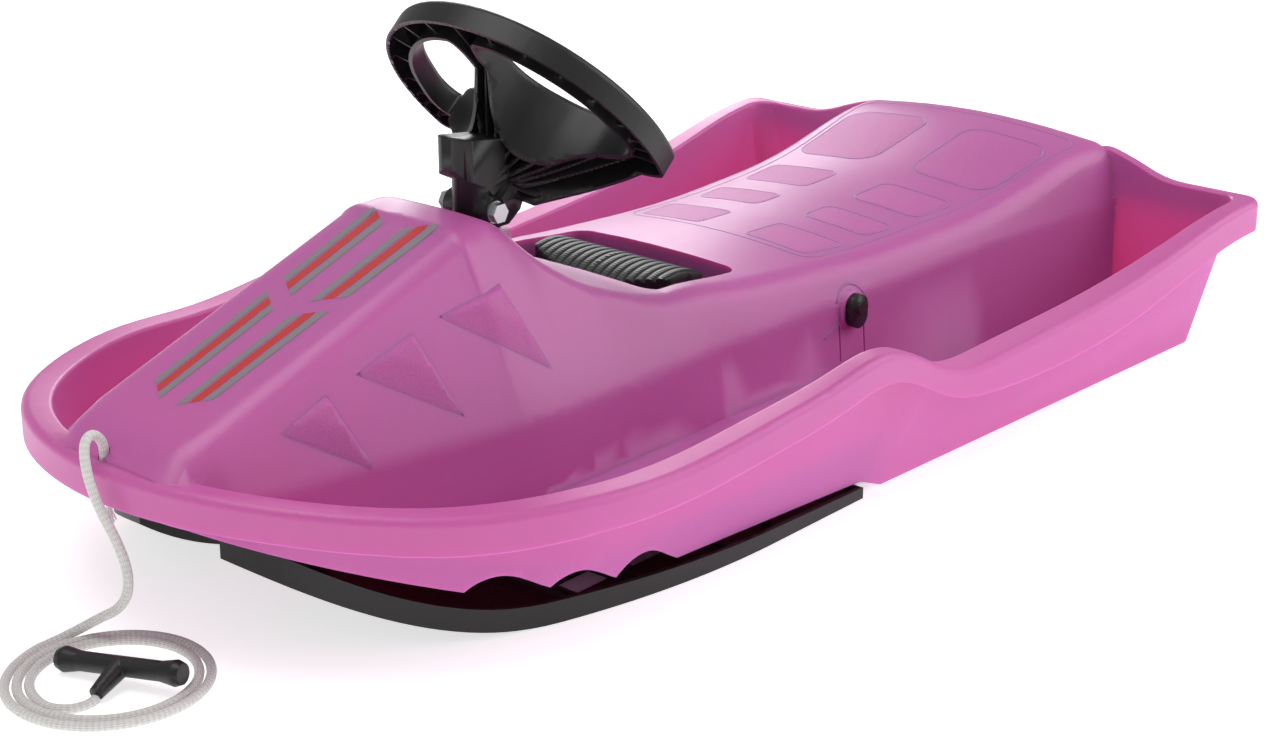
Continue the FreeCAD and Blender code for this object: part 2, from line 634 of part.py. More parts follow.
def body_shell():
    sheer_top = sheer_face(0)
    sheer = under_face(sheer_top)
    flange_under = under_face(sheer_face(WALL))
    plan = plan_prism(0, 0, TAIL_CORNER)
    rim = plan.common(sheer).cut(under_curve(sheer_line(1)))
    rim = rim.makeFillet(RIM_ROUND, meeting_edges(rim, sheer_top, upright_faces(plan)))
    under_rim = plan_prism(WALL, WALL, TAIL_CORNER - WALL).common(flange_under)
    rim = rim.cut(under_rim)

    cavity = tub_block(WALL, -OVERRUN, TUB_TOP)
    tub = tub_block(0, 0, TUB_TOP).common(sheer)
    sweep = Part.makeCylinder(SKI_SWEEP, TUB_TOP, V(STEER_X, 0, -OVERRUN))
    riser = Part.makeCylinder(SKI_SWEEP + WALL, TUB_TOP + OVERRUN, V(STEER_X, 0, -OVERRUN))
    ahead = box(STEER_X, SLED_LENGTH, -SLED_WIDTH, SLED_WIDTH, -OVERRUN, TUB_TOP)
    ski_room = under_floor(-WALL).common(sweep.fuse(ahead))
    above_pan = box(-SLED_LENGTH, STEER_X, -SLED_WIDTH, SLED_WIDTH, PAN_THICKNESS, TUB_TOP)
    notches = [notch(side * angle) for angle in NOTCH_ANGLES for side in (1, -1)]
    tub = tub.cut([cavity.cut(under_floor(0)), cavity.common(above_pan).cut(riser), cavity.common(ski_room),
                   wall_foot_cut()] + notches)

    ridge_outer = ridge_block(0)
    above = box(-SLED_LENGTH, SLED_LENGTH, -SLED_WIDTH, SLED_WIDTH, HEAD_LEVEL, BONNET_HEIGHT + OVERRUN)
    tub_outside = tub_block(0, 0, TUB_TOP)
    ridge = ridge_outer.common(tub_outside.fuse(above)).cut([ski_room, under_rim.cut(tub_outside)])
    hollow = ridge_block(WALL).common(tub_block(WALL, -2 * OVERRUN, BONNET_HEIGHT + OVERRUN))
    bowl = rim.cut(cavity).fuse(tub)
    bowl = bowl.makeFillet(RIM_INNER_ROUND, meeting_edges(bowl, sheer_top, upright_faces(cavity)))
    shell = bowl.fuse(ridge).cut(hollow)

    lip_foot = ridge_top(RECESS_REAR_X) - RECESS_LIP
    lip = recess(WALL, lip_foot, BONNET_HEIGHT).common(ridge_outer)
    cup_outer = CUP_DIAMETER / 2 + WALL
    cup_foot = V(STEER_X, 0, CUP_LEVEL - CUP_DEPTH)
    cup = Part.makeCylinder(cup_outer, CUP_DEPTH, cup_foot)
    cup_wall = Part.makeCylinder(cup_outer, BONNET_HEIGHT, cup_foot).common(ridge_outer)
    added = [lip, cup, cup_wall]
    cuts = [recess(0, lip_foot - OVERRUN, BONNET_HEIGHT),
            Part.makeCylinder(CUP_DIAMETER / 2, BONNET_HEIGHT, V(STEER_X, 0, CUP_LEVEL)),
            Part.makeCylinder(BUSH_BORE / 2, BONNET_HEIGHT, cup_foot - V(0, 0, OVERRUN)),
            Part.makeCylinder(ROPE_HOLE / 2, BONNET_HEIGHT, V(ROPE_HOLE_X, ROPE_HOLE_Y, 0))]
    for side in (1, -1):
        face = V(PIVOT_X, side * PIVOT_WALL_Y, PIVOT_Z)
        inward = V(0, -side * WALL, 0)
        ring_width = 2 * (CAP_RADIUS + RING_BOSS_WIDTH)
        added.append(rod(ring_width, face + inward * 2, face + V(0, side * RING_BOSS, 0)))
        cuts.append(rod(PIVOT_DIAMETER + 2 * PRESS_GAP, face + inward * OVERRUN, face - inward * OVERRUN))
        for end in (1, -1):
            x = PIVOT_X + end * TONGUE_HALF_WIDTH
            y0, y1 = sorted((face.y - OVERRUN / 2, face.y + OVERRUN / 2))
            half = TONGUE_SLIT / 2
            cuts.append(box(x - half, x + half, y0, y1, TONGUE_FOOT, PIVOT_Z - CAP_RADIUS))
    for x, y in SCREW_PLACES:
        cuts.append(rod(SCREW_DIAMETER, V(x, y, UNDER_FLOOR - OVERRUN), V(x, y, FLOOR_LEVEL + OVERRUN)))
    return shell.fuse(added).cut(cuts).removeSplitter()


def upright_faces(block):
    return Part.makeCompound([face for face in block.Faces if face.BoundBox.ZLength > HEAD_LEVEL])


def meeting_edges(shape, top, walls):
    """Edges of a shape where the flange's top meets upright walls."""
    near = WALL / 10
    found = []
    for edge in shape.Edges:
        middle = Part.Vertex(edge.valueAt((edge.FirstParameter + edge.LastParameter) / 2))
        if top.distToShape(middle)[0] < near and walls.distToShape(middle)[0] < near:
            found.append(edge)
    return found


def side_plate(points, y0, y1):
    """Upright plate from a side-view outline of (x, z) pairs."""
    ring = [V(x, y0, z) for x, z in points]
    return Part.Face(Part.makePolygon(ring + ring[:1])).extrude(V(0, y1 - y0, 0))


def hexagon(flats, height, start):
    """Hexagonal prism across the sled, on its left-hand face."""
    corner = flats / math.sqrt(3)
    ring = []
    for i in range(6):
        angle = math.radians(60 * i)
        ring.append(start + V(corner * math.cos(angle), 0, corner * math.sin(angle)))
    return Part.Face(Part.makePolygon(ring + ring[:1])).extrude(V(0, height, 0))


def cross_bolt(z, half_width):
    """Hexagon bolt across the column, head on the left."""
    seat = half_width + WASHER_THICKNESS
    shank = rod(BOLT_DIAMETER, V(STEER_X, -seat - NUT_HEIGHT - NUT_TAIL, z), V(STEER_X, seat, z))
    return shank.fuse(hexagon(BOLT_HEAD, BOLT_HEAD_HEIGHT, V(STEER_X, seat, z)))


def cross_hole(z, half_width):
    reach = half_width + OVERRUN
    return rod(BOLT_DIAMETER + 2 * BOLT_FIT, V(STEER_X, -reach, z), V(STEER_X, reach, z))


def cross_nut(z, half_width):
    start = V(STEER_X, -half_width - WASHER_THICKNESS - NUT_HEIGHT, z)
    bore = rod(BOLT_DIAMETER + 2 * RUN_FIT, start, start + V(0, NUT_HEIGHT, 0))
    return hexagon(BOLT_HEAD, NUT_HEIGHT, start).cut(bore)


def cross_washers(z, half_width):
    near = V(STEER_X, half_width, z)
    left = tube(WASHER_DIAMETER, BOLT_DIAMETER + 2 * BOLT_FIT, near, near + V(0, WASHER_THICKNESS, 0))
    return Part.makeCompound([left, mirrored(left)])


def column_ring(outer, z0, z1):
    """Ring that runs round the column."""
    return tube(outer, COLUMN_DIAMETER + 2 * RUN_FIT, V(STEER_X, 0, z0), V(STEER_X, 0, z1))


def column_bush_upper():
    body = column_ring(BUSH_BORE - 2 * PRESS_GAP, CUP_LEVEL - CUP_DEPTH, CUP_LEVEL)
    return body.fuse(column_ring(BUSH_FLANGE_DIAMETER, CUP_LEVEL, CUP_LEVEL + BUSH_FLANGE))


def column_bush_lower():
    body = column_ring(BUSH_BORE - 2 * PRESS_GAP, TOWER_FOOT, TOWER_TOP)
    return body.fuse(column_ring(BUSH_FLANGE_DIAMETER, TOWER_FOOT - BUSH_FLANGE, TOWER_FOOT))


def bearing_crossmember():
    x0, x1 = STEER_X - MEMBER_HALF_LENGTH, STEER_X + MEMBER_HALF_LENGTH
    bottom = UNDER_FLOOR - MEMBER_THICKNESS
    plate = rounded_slab(x0, x1, -MEMBER_HALF_SPAN, MEMBER_HALF_SPAN, bottom, UNDER_FLOOR, MEMBER_CORNER)
    tower = rod(TOWER_DIAMETER, V(STEER_X, 0, TOWER_FOOT), V(STEER_X, 0, TOWER_TOP))
    cuts = [rod(BUSH_BORE, V(STEER_X, 0, TOWER_FOOT), V(STEER_X, 0, TOWER_TOP))]
    for x, y in SCREW_PLACES:
        cuts.append(rod(SCREW_DIAMETER, V(x, y, bottom), V(x, y, UNDER_FLOOR)))
    return plate.fuse(tower).cut(cuts)


def crossmember_screws():
    bottom = UNDER_FLOOR - MEMBER_THICKNESS
    screws = []
    for x, y in SCREW_PLACES:
        shank = rod(SCREW_DIAMETER - 2 * PRESS_GAP, V(x, y, bottom), V(x, y, FLOOR_LEVEL + SCREW_TIP))
        head = rod(SCREW_HEAD, V(x, y, bottom - SCREW_HEAD_HEIGHT), V(x, y, bottom))
        screws.append(shank.fuse(head))
    return Part.makeCompound(screws)


def steering_column():
    column = tube(COLUMN_DIAMETER, COLUMN_DIAMETER - 2 * COLUMN_WALL, V(STEER_X, 0, COLUMN_FOOT),
                  V(STEER_X, 0, COLUMN_TOP))
    return column.cut([cross_hole(WHEEL_Z, HUB_HALF_WIDTH), cross_hole(SKI_BOLT_Z, SKI_HUB_HALF_WIDTH)])


def shifted(points, distance, closed):
    """Points moved to the left of their run by a distance."""
    last = len(points) - 1
    moved = []
    for i, p in enumerate(points):
        before = points[i - 1] if closed or i > 0 else p
        after = points[(i + 1) % len(points)] if closed or i < last else p
        along = (after - before).normalize()
        moved.append(p + V(-along.y, along.x, 0) * distance)
    return moved


def wheel_face(inset):
    """The wheel's outline with its two hand holes, drawn in by a wall, flat, far in front of the wheel."""
    front = -WHEEL_BACK
    radius = WHEEL_RADIUS - inset
    angle = math.radians(RING_END_ANGLE)
    end = V(radius * math.cos(angle), radius * math.sin(angle), front)
    left = [V(x * WHEEL_RADIUS, y * WHEEL_RADIUS, front) for x, y in ARM_EDGE_SHARES]
    right = [V(p.x, -p.y, p.z) for p in reversed(left)]
    far_end = V(end.x, -end.y, end.z)
    ring = arc(far_end, V(radius, 0, front), end)
    outer = Part.Wire([ring, smooth_line([end] + shifted(left + right, inset, False) + [far_end])])
    edge = [V(x * WHEEL_RADIUS, y * WHEEL_RADIUS, front) for x, y in HOLE_EDGE_SHARES]
    curve = Part.BSplineCurve()
    curve.interpolate(shifted(edge, -inset, True), PeriodicFlag=True)
    hole = Part.Wire(curve.toShape())
    return Part.makeFace([outer, hole, mirrored(hole)], "Part::FaceMakerBullseye")


def wheel_dish(lift):
    """Everything behind the wheel's dished front, turned about an axis below its middle."""
    profile = [(0, DISH_NOSE), (DISH_NOSE_RADIUS, DISH_NOSE), (DISH_RADIUS, RING_FRONT),
               (2 * WHEEL_RADIUS, RING_FRONT), (2 * WHEEL_RADIUS, 2 * WHEEL_BACK), (0, 2 * WHEEL_BACK)]
    ring = [V(r - DISH_DROP, 0, z + lift) for r, z in profile]
    face = Part.Face(Part.makePolygon(ring + ring[:1]))
    return face.revolve(V(-DISH_DROP, 0, 0), V(0, 0, 1), 360)


def wheel_rib(angle, start, end):
    """Thin upright rib that runs out from a point at an angle from the wheel's top."""
    half = RIB_THICKNESS / 2
    rib = box(0, end, -half, half, DISH_NOSE, WHEEL_BACK - WHEEL_SKIN / 2)
    rib.rotate(V(0, 0, 0), V(0, 0, 1), angle)
    return rib.translated(start)


def steering_wheel():
    blank = wheel_face(0).extrude(V(0, 0, 2 * WHEEL_BACK))
    back_edges = [e for e in blank.Edges if min(v.Z for v in e.Vertexes) > WHEEL_BACK - RUN_FIT]
    blank = blank.makeFillet(WHEEL_EDGE_ROUND, back_edges).common(wheel_dish(0))
    pocket = wheel_face(WHEEL_WALL).extrude(V(0, 0, 2 * WHEEL_BACK - WHEEL_SKIN))
    ribs = [wheel_rib(angle, V(0, 0, 0), 2 * WHEEL_RADIUS) for angle in RIB_ANGLES]
    for angle in BRACE_ANGLES:
        ribs.append(wheel_rib(angle, V(0, 0, 0), 2 * WHEEL_RADIUS))
        ribs.append(wheel_rib(-angle, V(0, 0, 0), 2 * WHEEL_RADIUS))
    ribs = [rib.common(blank).common(wheel_dish(RIB_SETBACK)) for rib in ribs]
    wheel = in_wheel_frame(blank.cut(pocket).fuse(ribs))
    points = [(STEER_X + x * BONNET_HEIGHT, z * BONNET_HEIGHT) for x, z in HUB_SHARES]
    web = side_plate(points, -HUB_WEB_HALF_WIDTH, HUB_WEB_HALF_WIDTH)
    reach = HUB_REACH_SHARE * BONNET_HEIGHT
    half = HUB_WEB_HALF_WIDTH
    hub = web.common(rounded_slab(STEER_X - 2 * reach, STEER_X + reach, -half, half,
                                  hub_foot(), 2 * BONNET_HEIGHT, HUB_WEB_ROUND))
    sleeve = rod(HUB_SLEEVE, V(STEER_X, 0, hub_foot()), V(STEER_X, 0, COLUMN_TOP + WHEEL_SKIN))
    boss = rod(HUB_BOSS, V(STEER_X, -HUB_HALF_WIDTH, WHEEL_Z), V(STEER_X, HUB_HALF_WIDTH, WHEEL_Z))
    bore = rod(COLUMN_DIAMETER + 2 * RUN_FIT, V(STEER_X, 0, CUP_LEVEL), V(STEER_X, 0, COLUMN_TOP + RUN_FIT))
    return wheel.fuse([hub, sleeve, boss]).cut([bore, cross_hole(WHEEL_Z, HUB_HALF_WIDTH)])


def hub_foot():
    return min(z for x, z in HUB_SHARES) * BONNET_HEIGHT


def ski_face():
    """Plan of the ski: round forked front, long sides and two tails."""
    tip_x = NOSE_CENTRE_X + math.sqrt(SKI_FRONT_RADIUS ** 2 - FORK_HALF_GAP ** 2)
    sides = [V(x * HALF_LENGTH, y * SKI_HALF_WIDTH, 0) for x, y in SKI_SIDE_SHARES]
    meet_x = sides[-1].x
    meet = V(meet_x, math.sqrt(SKI_FRONT_RADIUS ** 2 - (meet_x - NOSE_CENTRE_X) ** 2), 0)
    angle = (math.atan2(meet.y, meet_x - NOSE_CENTRE_X) + math.asin(FORK_HALF_GAP / SKI_FRONT_RADIUS)) / 2
    bow = V(NOSE_CENTRE_X + SKI_FRONT_RADIUS * math.cos(angle), SKI_FRONT_RADIUS * math.sin(angle), 0)
    root = V(FORK_ROOT_X + FORK_HALF_GAP, FORK_HALF_GAP, 0)
    tip = V(tip_x, FORK_HALF_GAP, 0)
    tail = V(SKI_TAIL_X, SKI_HALF_WIDTH, 0)
    inner = V(SKI_TAIL_X, TAIL_GAP_HALF_WIDTH, 0)
    turn = V(TAIL_GAP_ROOT_X - TAIL_GAP_ROUND, TAIL_GAP_HALF_WIDTH, 0)
    gap = V(TAIL_GAP_ROOT_X, TAIL_GAP_HALF_WIDTH - TAIL_GAP_ROUND, 0)
    diagonal = TAIL_GAP_ROUND / math.sqrt(2)
    elbow = V(turn.x + diagonal, gap.y + diagonal, 0)
    left = [line(root, tip), arc(tip, bow, meet), arc(meet, sides[1], sides[0]), line(sides[0], tail),
            line(tail, inner), line(inner, turn), arc(turn, elbow, gap)]
    right = [mirrored(edge) for edge in left]
    ends = [arc(root, V(FORK_ROOT_X, 0, 0), V(root.x, -root.y, 0)), line(gap, V(gap.x, -gap.y, 0))]
    return Part.Face(Part.Wire(Part.__sortEdges__(left + right + ends)))


def ski_band(front_height, tail_height):
    """Layer over the ski's curved sole, thinner or thicker towards the tail."""
    y = -SLED_WIDTH
    angle = math.radians(ROCKER_END_ANGLE)
    bottom = [V(SKI_TAIL_X - OVERRUN, y, 0), V(ROCKER_START, y, 0)]
    centre = V(ROCKER_START, y, ROCKER_RADIUS)

    def rocker(height, share):
        radius = ROCKER_RADIUS - height
        return centre + V(radius * math.sin(angle * share), 0, -radius * math.cos(angle * share))

    edges = [
        line(bottom[0], bottom[1]),
        arc(rocker(0, 0), rocker(0, 0.5), rocker(0, 1)),
        line(rocker(0, 1), rocker(front_height, 1)),
        arc(rocker(front_height, 1), rocker(front_height, 0.5), rocker(front_height, 0)),
        line(rocker(front_height, 0), bottom[0] + V(0, 0, tail_height)),
        line(bottom[0] + V(0, 0, tail_height), bottom[0]),
    ]
    return Part.Face(Part.Wire(edges)).extrude(V(0, 2 * SLED_WIDTH, 0))


def steering_ski():
    face = ski_face()
    tall = V(0, 0, SLED_WIDTH)
    block = face.extrude(tall)
    core = face.makeOffset2D(-SKI_WALL).extrude(tall)
    deck = block.common(ski_band(SKI_DECK, SKI_DECK))
    wall = block.cut(core).common(ski_band(SKI_WALL_FRONT, SKI_WALL_TAIL))
    rib_band = ski_band(SKI_DECK + SKI_RIB_HEIGHT, SKI_DECK)
    added = [wall]
    for share in SKI_RIB_X_SHARES:
        x = share * HALF_LENGTH
        half = SKI_RIB_THICKNESS / 2
        rib = box(x - half, x + half, -SLED_WIDTH, SLED_WIDTH, 0, HEAD_LEVEL)
        added.append(rib.common(block).common(rib_band))
    hub = SKI_HUB_HALF_WIDTH
    added.append(box(STEER_X - hub, STEER_X + hub, -hub, hub, 0, SKI_HUB_TOP))
    bore = COLUMN_DIAMETER + 2 * RUN_FIT
    cuts = [rod(bore, V(STEER_X, 0, COLUMN_FOOT - RUN_FIT), V(STEER_X, 0, HEAD_LEVEL)),
            cross_hole(SKI_BOLT_Z, hub)]
    for share in SKI_SLOT_X_SHARES:
        x = share * HALF_LENGTH
        for side in (1, -1):
            y = side * SKI_SLOT_Y
            cuts.append(box(x - SKI_SLOT_LENGTH / 2, x + SKI_SLOT_LENGTH / 2, y - SKI_SLOT_WIDTH / 2,
                            y + SKI_SLOT_WIDTH / 2, -OVERRUN, HEAD_LEVEL))
    return deck.fuse(added).cut(cuts).removeSplitter()


def brake_pivot(side):
    """Pin through the tunnel wall with an oval cap outside."""
    seat = V(PIVOT_X, side * (PIVOT_WALL_Y + RING_BOSS), PIVOT_Z)
    out = V(0, side, 0)
    pin = rod(PIVOT_DIAMETER, seat - out * (PIVOT_REACH + RING_BOSS), seat)
    up = V(0, 0, CAP_HALF_LENGTH)
    ends = [rod(2 * CAP_RADIUS, seat + up, seat + up + out * CAP_HEIGHT),
            rod(2 * CAP_RADIUS, seat - up, seat - up + out * CAP_HEIGHT)]
    y0, y1 = sorted((seat.y, seat.y + side * CAP_HEIGHT))
    middle = box(PIVOT_X - CAP_RADIUS, PIVOT_X + CAP_RADIUS, y0, y1,
                 PIVOT_Z - CAP_HALF_LENGTH, PIVOT_Z + CAP_HALF_LENGTH)
    face = seat + up + out * CAP_HEIGHT
    lobe = rod(2 * CAP_LOBE_RADIUS, face, face + out * CAP_LOBE)
    return middle.fuse(ends + [pin, lobe]).removeSplitter()


def yoke_point(shares):
    return (PIVOT_X + shares[0] * YOKE_REACH, PIVOT_Z + shares[1] * YOKE_REACH)


def brake_yoke():
    points = [yoke_point(shares) for shares in YOKE_ARM_SHARES]
    pivot = V(PIVOT_X, 0, PIVOT_Z)
    arm = side_plate(points, ARM_INNER_Y, ARM_OUTER_Y)
    boss = rod(YOKE_BOSS, pivot + V(0, ARM_INNER_Y, 0), pivot + V(0, ARM_OUTER_Y, 0))
    sleeve = rod(YOKE_SLEEVE, pivot + V(0, ARM_INNER_Y, 0), pivot + V(0, PIVOT_INNER_Y - YOKE_SLEEVE_GAP, 0))
    side = arm.fuse([boss, sleeve])
    low, high = [PIVOT_Z + share * YOKE_REACH for share in YOKE_BAR_SHARES]
    half_bar = YOKE_BAR_LENGTH / 2
    bar = box(GRIP_X - half_bar, GRIP_X + half_bar, -ARM_INNER_Y, ARM_INNER_Y, low, high)
    half_stem = PEDESTAL_LENGTH / 2
    stem = box(GRIP_X - half_stem, GRIP_X + half_stem,
               -PEDESTAL_HALF_WIDTH, PEDESTAL_HALF_WIDTH, low, GRIP_BASE)
    inner_x = half_stem - PEDESTAL_WALL
    inner_y = PEDESTAL_HALF_WIDTH - PEDESTAL_WALL
    stem_room = box(GRIP_X - inner_x, GRIP_X + inner_x, -inner_y, inner_y,
                    low - OVERRUN, GRIP_BASE - PEDESTAL_TOP)
    tail_x, tail_top = points[0]
    tail_foot = points[-1][1]
    tail = box(tail_x, tail_x + 2 * TAIL_BAR_HALF_LENGTH, -ARM_INNER_Y, ARM_INNER_Y, tail_foot, tail_top)
    yoke = bar.fuse([side, mirrored(side), stem, tail])
    reach = ARM_OUTER_Y + OVERRUN
    cuts = [stem_room, rod(PIVOT_DIAMETER + 2 * RUN_FIT, pivot - V(0, reach, 0), pivot + V(0, reach, 0))]
    for y in (-GRIP_SCREW_Y, GRIP_SCREW_Y):
        cuts.append(rod(GRIP_SCREW_DIAMETER, V(GRIP_X, y, GRIP_BASE - OVERRUN), V(GRIP_X, y, GRIP_BASE)))
    for y, z in claw_rivet_places():
        cuts.append(rod(CLAW_RIVET_DIAMETER, V(tail_x - OVERRUN, y, z), V(tail_x + 2 * OVERRUN, y, z)))
    return yoke.cut(cuts).removeSplitter()


def claw_rivet_places():
    top = yoke_point(YOKE_ARM_SHARES[0])[1]
    foot = yoke_point(YOKE_ARM_SHARES[-1])[1]
    return [(share * CLAW_HALF_WIDTH, (top + foot) / 2) for share in CLAW_RIVET_Y_SHARES]


def grip_profile(drop, y0, y1):
    """Crowned bar across the seat, lowered by drop."""
    half = GRIP_LENGTH / 2
    low = V(GRIP_X - half, y0, GRIP_BASE)
    edge = V(0, 0, GRIP_EDGE - drop)
    far = V(GRIP_X + half, y0, GRIP_BASE)
    crown = V(GRIP_X, y0, GRIP_BASE + GRIP_CROWN - drop)
    edges = [line(low, far), line(far, far + edge), arc(far + edge, crown, low + edge), line(low + edge, low)]
    return Part.Face(Part.Wire(edges)).extrude(V(0, y1 - y0, 0))


def grip_plan():
    """Block over the grip's plan: a straight rear edge and a front edge that bows out."""
    rear = GRIP_X - GRIP_LENGTH / 2
    side_x = rear + GRIP_LENGTH * GRIP_END_LENGTH_SHARE
    low = GRIP_BASE - OVERRUN
    ends = [V(side_x, -GRIP_HALF_WIDTH, low), V(side_x, GRIP_HALF_WIDTH, low)]
    corners = [V(rear, GRIP_HALF_WIDTH, low), V(rear, -GRIP_HALF_WIDTH, low)]
    bow = arc(ends[0], V(rear + GRIP_LENGTH, 0, low), ends[1])
    wire = Part.Wire([bow, line(ends[1], corners[0]), line(corners[0], corners[1]), line(corners[1], ends[0])])
    block = Part.Face(wire).extrude(V(0, 0, 2 * OVERRUN + GRIP_CROWN))
    upright = [e for e in block.Edges if e.BoundBox.ZLength > GRIP_CROWN]
    return block.makeFillet(GRIP_CORNER, upright)


def brake_grip():
    core = grip_profile(GRIP_GROOVE_DEPTH, -GRIP_HALF_WIDTH, GRIP_HALF_WIDTH)
    pitch = (2 * GRIP_HALF_WIDTH - GRIP_GROOVE) / GRIP_RIBS
    ribs = []
    for i in range(GRIP_RIBS):
        start = GRIP_GROOVE - GRIP_HALF_WIDTH + i * pitch
        ribs.append(grip_profile(0, start, start + pitch - GRIP_GROOVE))
    holes = []
    for y in (-GRIP_SCREW_Y, GRIP_SCREW_Y):
        top = GRIP_BASE - PEDESTAL_TOP + GRIP_SCREW_LENGTH
        holes.append(rod(GRIP_SCREW_DIAMETER, V(GRIP_X, y, GRIP_BASE), V(GRIP_X, y, top)))
    return core.fuse(ribs).common(grip_plan()).cut(holes)


def grip_screws():
    screws = []
    seat = GRIP_BASE - PEDESTAL_TOP
    for y in (-GRIP_SCREW_Y, GRIP_SCREW_Y):
        shank = rod(GRIP_SCREW_DIAMETER - 2 * PRESS_GAP, V(GRIP_X, y, seat),
                    V(GRIP_X, y, seat + GRIP_SCREW_LENGTH))
        head = rod(GRIP_SCREW_HEAD, V(GRIP_X, y, seat - GRIP_SCREW_HEAD_HEIGHT), V(GRIP_X, y, seat))
        screws.append(shank.fuse(head))
    return Part.makeCompound(screws)


def brake_claw():
    tail_x, top = yoke_point(YOKE_ARM_SHARES[0])
    pitch = 2 * CLAW_HALF_WIDTH / CLAW_TEETH
    root = CLAW_TIP + CLAW_TOOTH
    x = tail_x - CLAW_THICKNESS
    ring = [V(x, -CLAW_HALF_WIDTH, top), V(x, -CLAW_HALF_WIDTH, root)]
    for i in range(CLAW_TEETH):
        start = i * pitch - CLAW_HALF_WIDTH
        ring.append(V(x, start + pitch / 2, CLAW_TIP))
        ring.append(V(x, start + pitch, root))
    ring.append(V(x, CLAW_HALF_WIDTH, top))
    plate = Part.Face(Part.makePolygon(ring + ring[:1])).extrude(V(CLAW_THICKNESS, 0, 0))
    holes = [rod(CLAW_RIVET_DIAMETER, V(x, y, z), V(tail_x, y, z)) for y, z in claw_rivet_places()]
    return plate.cut(holes)


def claw_rivets():
    tail_x = yoke_point(YOKE_ARM_SHARES[0])[0]
    rear = tail_x - CLAW_THICKNESS
    front = tail_x + 2 * TAIL_BAR_HALF_LENGTH
    rivets = []
    for y, z in claw_rivet_places():
        shank = rod(CLAW_RIVET_DIAMETER - 2 * PRESS_GAP, V(rear, y, z), V(front, y, z))
        heads = [rod(CLAW_RIVET_HEAD, V(rear - CLAW_RIVET_HEAD_HEIGHT, y, z), V(rear, y, z)),
                 rod(CLAW_RIVET_HEAD, V(front, y, z), V(front + CLAW_RIVET_HEAD_HEIGHT, y, z))]
        rivets.append(shank.fuse(heads))
    return Part.makeCompound(rivets)


def brake_spring():
    """Square-wire torsion spring round the yoke's left sleeve, with a leg along the arm."""
    radius = YOKE_SLEEVE / 2 + SPRING_PLAY + SPRING_WIRE / 2
    helix = Part.makeHelix(SPRING_PITCH, SPRING_PITCH * SPRING_TURNS, radius)
    half = SPRING_WIRE / 2
    ring = [V(radius - half, 0, -half), V(radius + half, 0, -half),
            V(radius + half, 0, half), V(radius - half, 0, half)]
    coil = Part.Wire(helix.Edges).makePipeShell([Part.makePolygon(ring + ring[:1])], True, True)
    near_leg = box(radius - half, radius + half, -SPRING_LEG, half, -half, half)
    top = SPRING_PITCH * SPRING_TURNS
    far_leg = box(radius - half, radius + half, -half, SPRING_LEG, top - half, top + half)
    spring = coil.fuse([near_leg, far_leg])
    spring.rotate(V(0, 0, 0), V(1, 0, 0), -90)
    spring.rotate(V(0, 0, 0), V(0, 1, 0), 90)
    start = ARM_OUTER_Y + half + SPRING_PLAY
    return spring.translated(V(PIVOT_X, start, PIVOT_Z))


def rope_tube(edges):
    """Round rope along a run of edges that meet smoothly."""
    path = Part.Wire(edges)
    start = edges[0].valueAt(edges[0].FirstParameter)
    heading = edges[0].tangentAt(edges[0].FirstParameter)
    ring = Part.Wire(Part.makeCircle(ROPE_DIAMETER / 2, start, heading))
    solid = path.makePipeShell([ring], True, False)
    share = solid.Volume / (math.pi * ROPE_DIAMETER ** 2 / 4 * path.Length)
    print(f"rope run {path.Length:.1f} mm, volume over section times length {share:.4f}")
    return solid


def flat(angle):
    return V(math.cos(math.radians(angle)), math.sin(math.radians(angle)), 0)


def coil_edges():
    """Half turns that shrink inwards, then a short bend into the handle."""
    centre = V(COIL_CENTRE_X, COIL_CENTRE_Y, COIL_LEVEL)
    radius = COIL_RADIUS
    angle = COIL_START_ANGLE
    edges = []
    sweeps = [180.0] * COIL_HALF_TURNS + [COIL_LAST_SWEEP]
    for sweep in sweeps:
        edges.append(arc(centre + flat(angle) * radius, centre + flat(angle + sweep / 2) * radius,
                         centre + flat(angle + sweep) * radius))
        angle += sweep
        centre = centre + flat(angle) * (COIL_PITCH / 2)
        radius -= COIL_PITCH / 2
    start = edges[-1].valueAt(edges[-1].LastParameter)
    bend = start - flat(angle) * COIL_END_RADIUS
    turn = (HANDLE_HEADING - 90 - angle) % 360
    end = bend + flat(angle + turn) * COIL_END_RADIUS
    edges.append(arc(start, bend + flat(angle + turn / 2) * COIL_END_RADIUS, end))
    edges.append(line(end, end + flat(HANDLE_HEADING) * COIL_END_RUN))
    return edges


def lead_edges():
    """Straight runs joined by tangent arcs, from the flange to the start of the coil."""
    coil_start = V(COIL_CENTRE_X, COIL_CENTRE_Y, COIL_LEVEL) + flat(COIL_START_ANGLE) * COIL_RADIUS
    before = coil_start - flat(COIL_START_ANGLE + 90) * LEAD_END_RUN
    points = [V(ROPE_HOLE_X, ROPE_HOLE_Y, LEAD_START_Z)] + LEAD_CORNERS + [before, coil_start]
    edges = []
    at = points[0]
    radii = []
    for i in range(1, len(points) - 1):
        p = points[i]
        back = (points[i - 1] - p)
        on = (points[i + 1] - p)
        reach = LEAD_BEND_SHARE * min(back.Length, on.Length)
        a, b = back.normalize(), on.normalize()
        half = a.getAngle(b) / 2
        radius = reach * math.tan(half)
        radii.append(radius)
        first, last = p + a * reach, p + b * reach
        middle = p + (a + b).normalize() * (radius / math.sin(half) - radius)
        edges.append(line(at, first))
        edges.append(arc(first, middle, last))
        at = last
    edges.append(line(at, points[-1]))
    print("lead bend radii", [round(radius, 1) for radius in radii])
    return edges


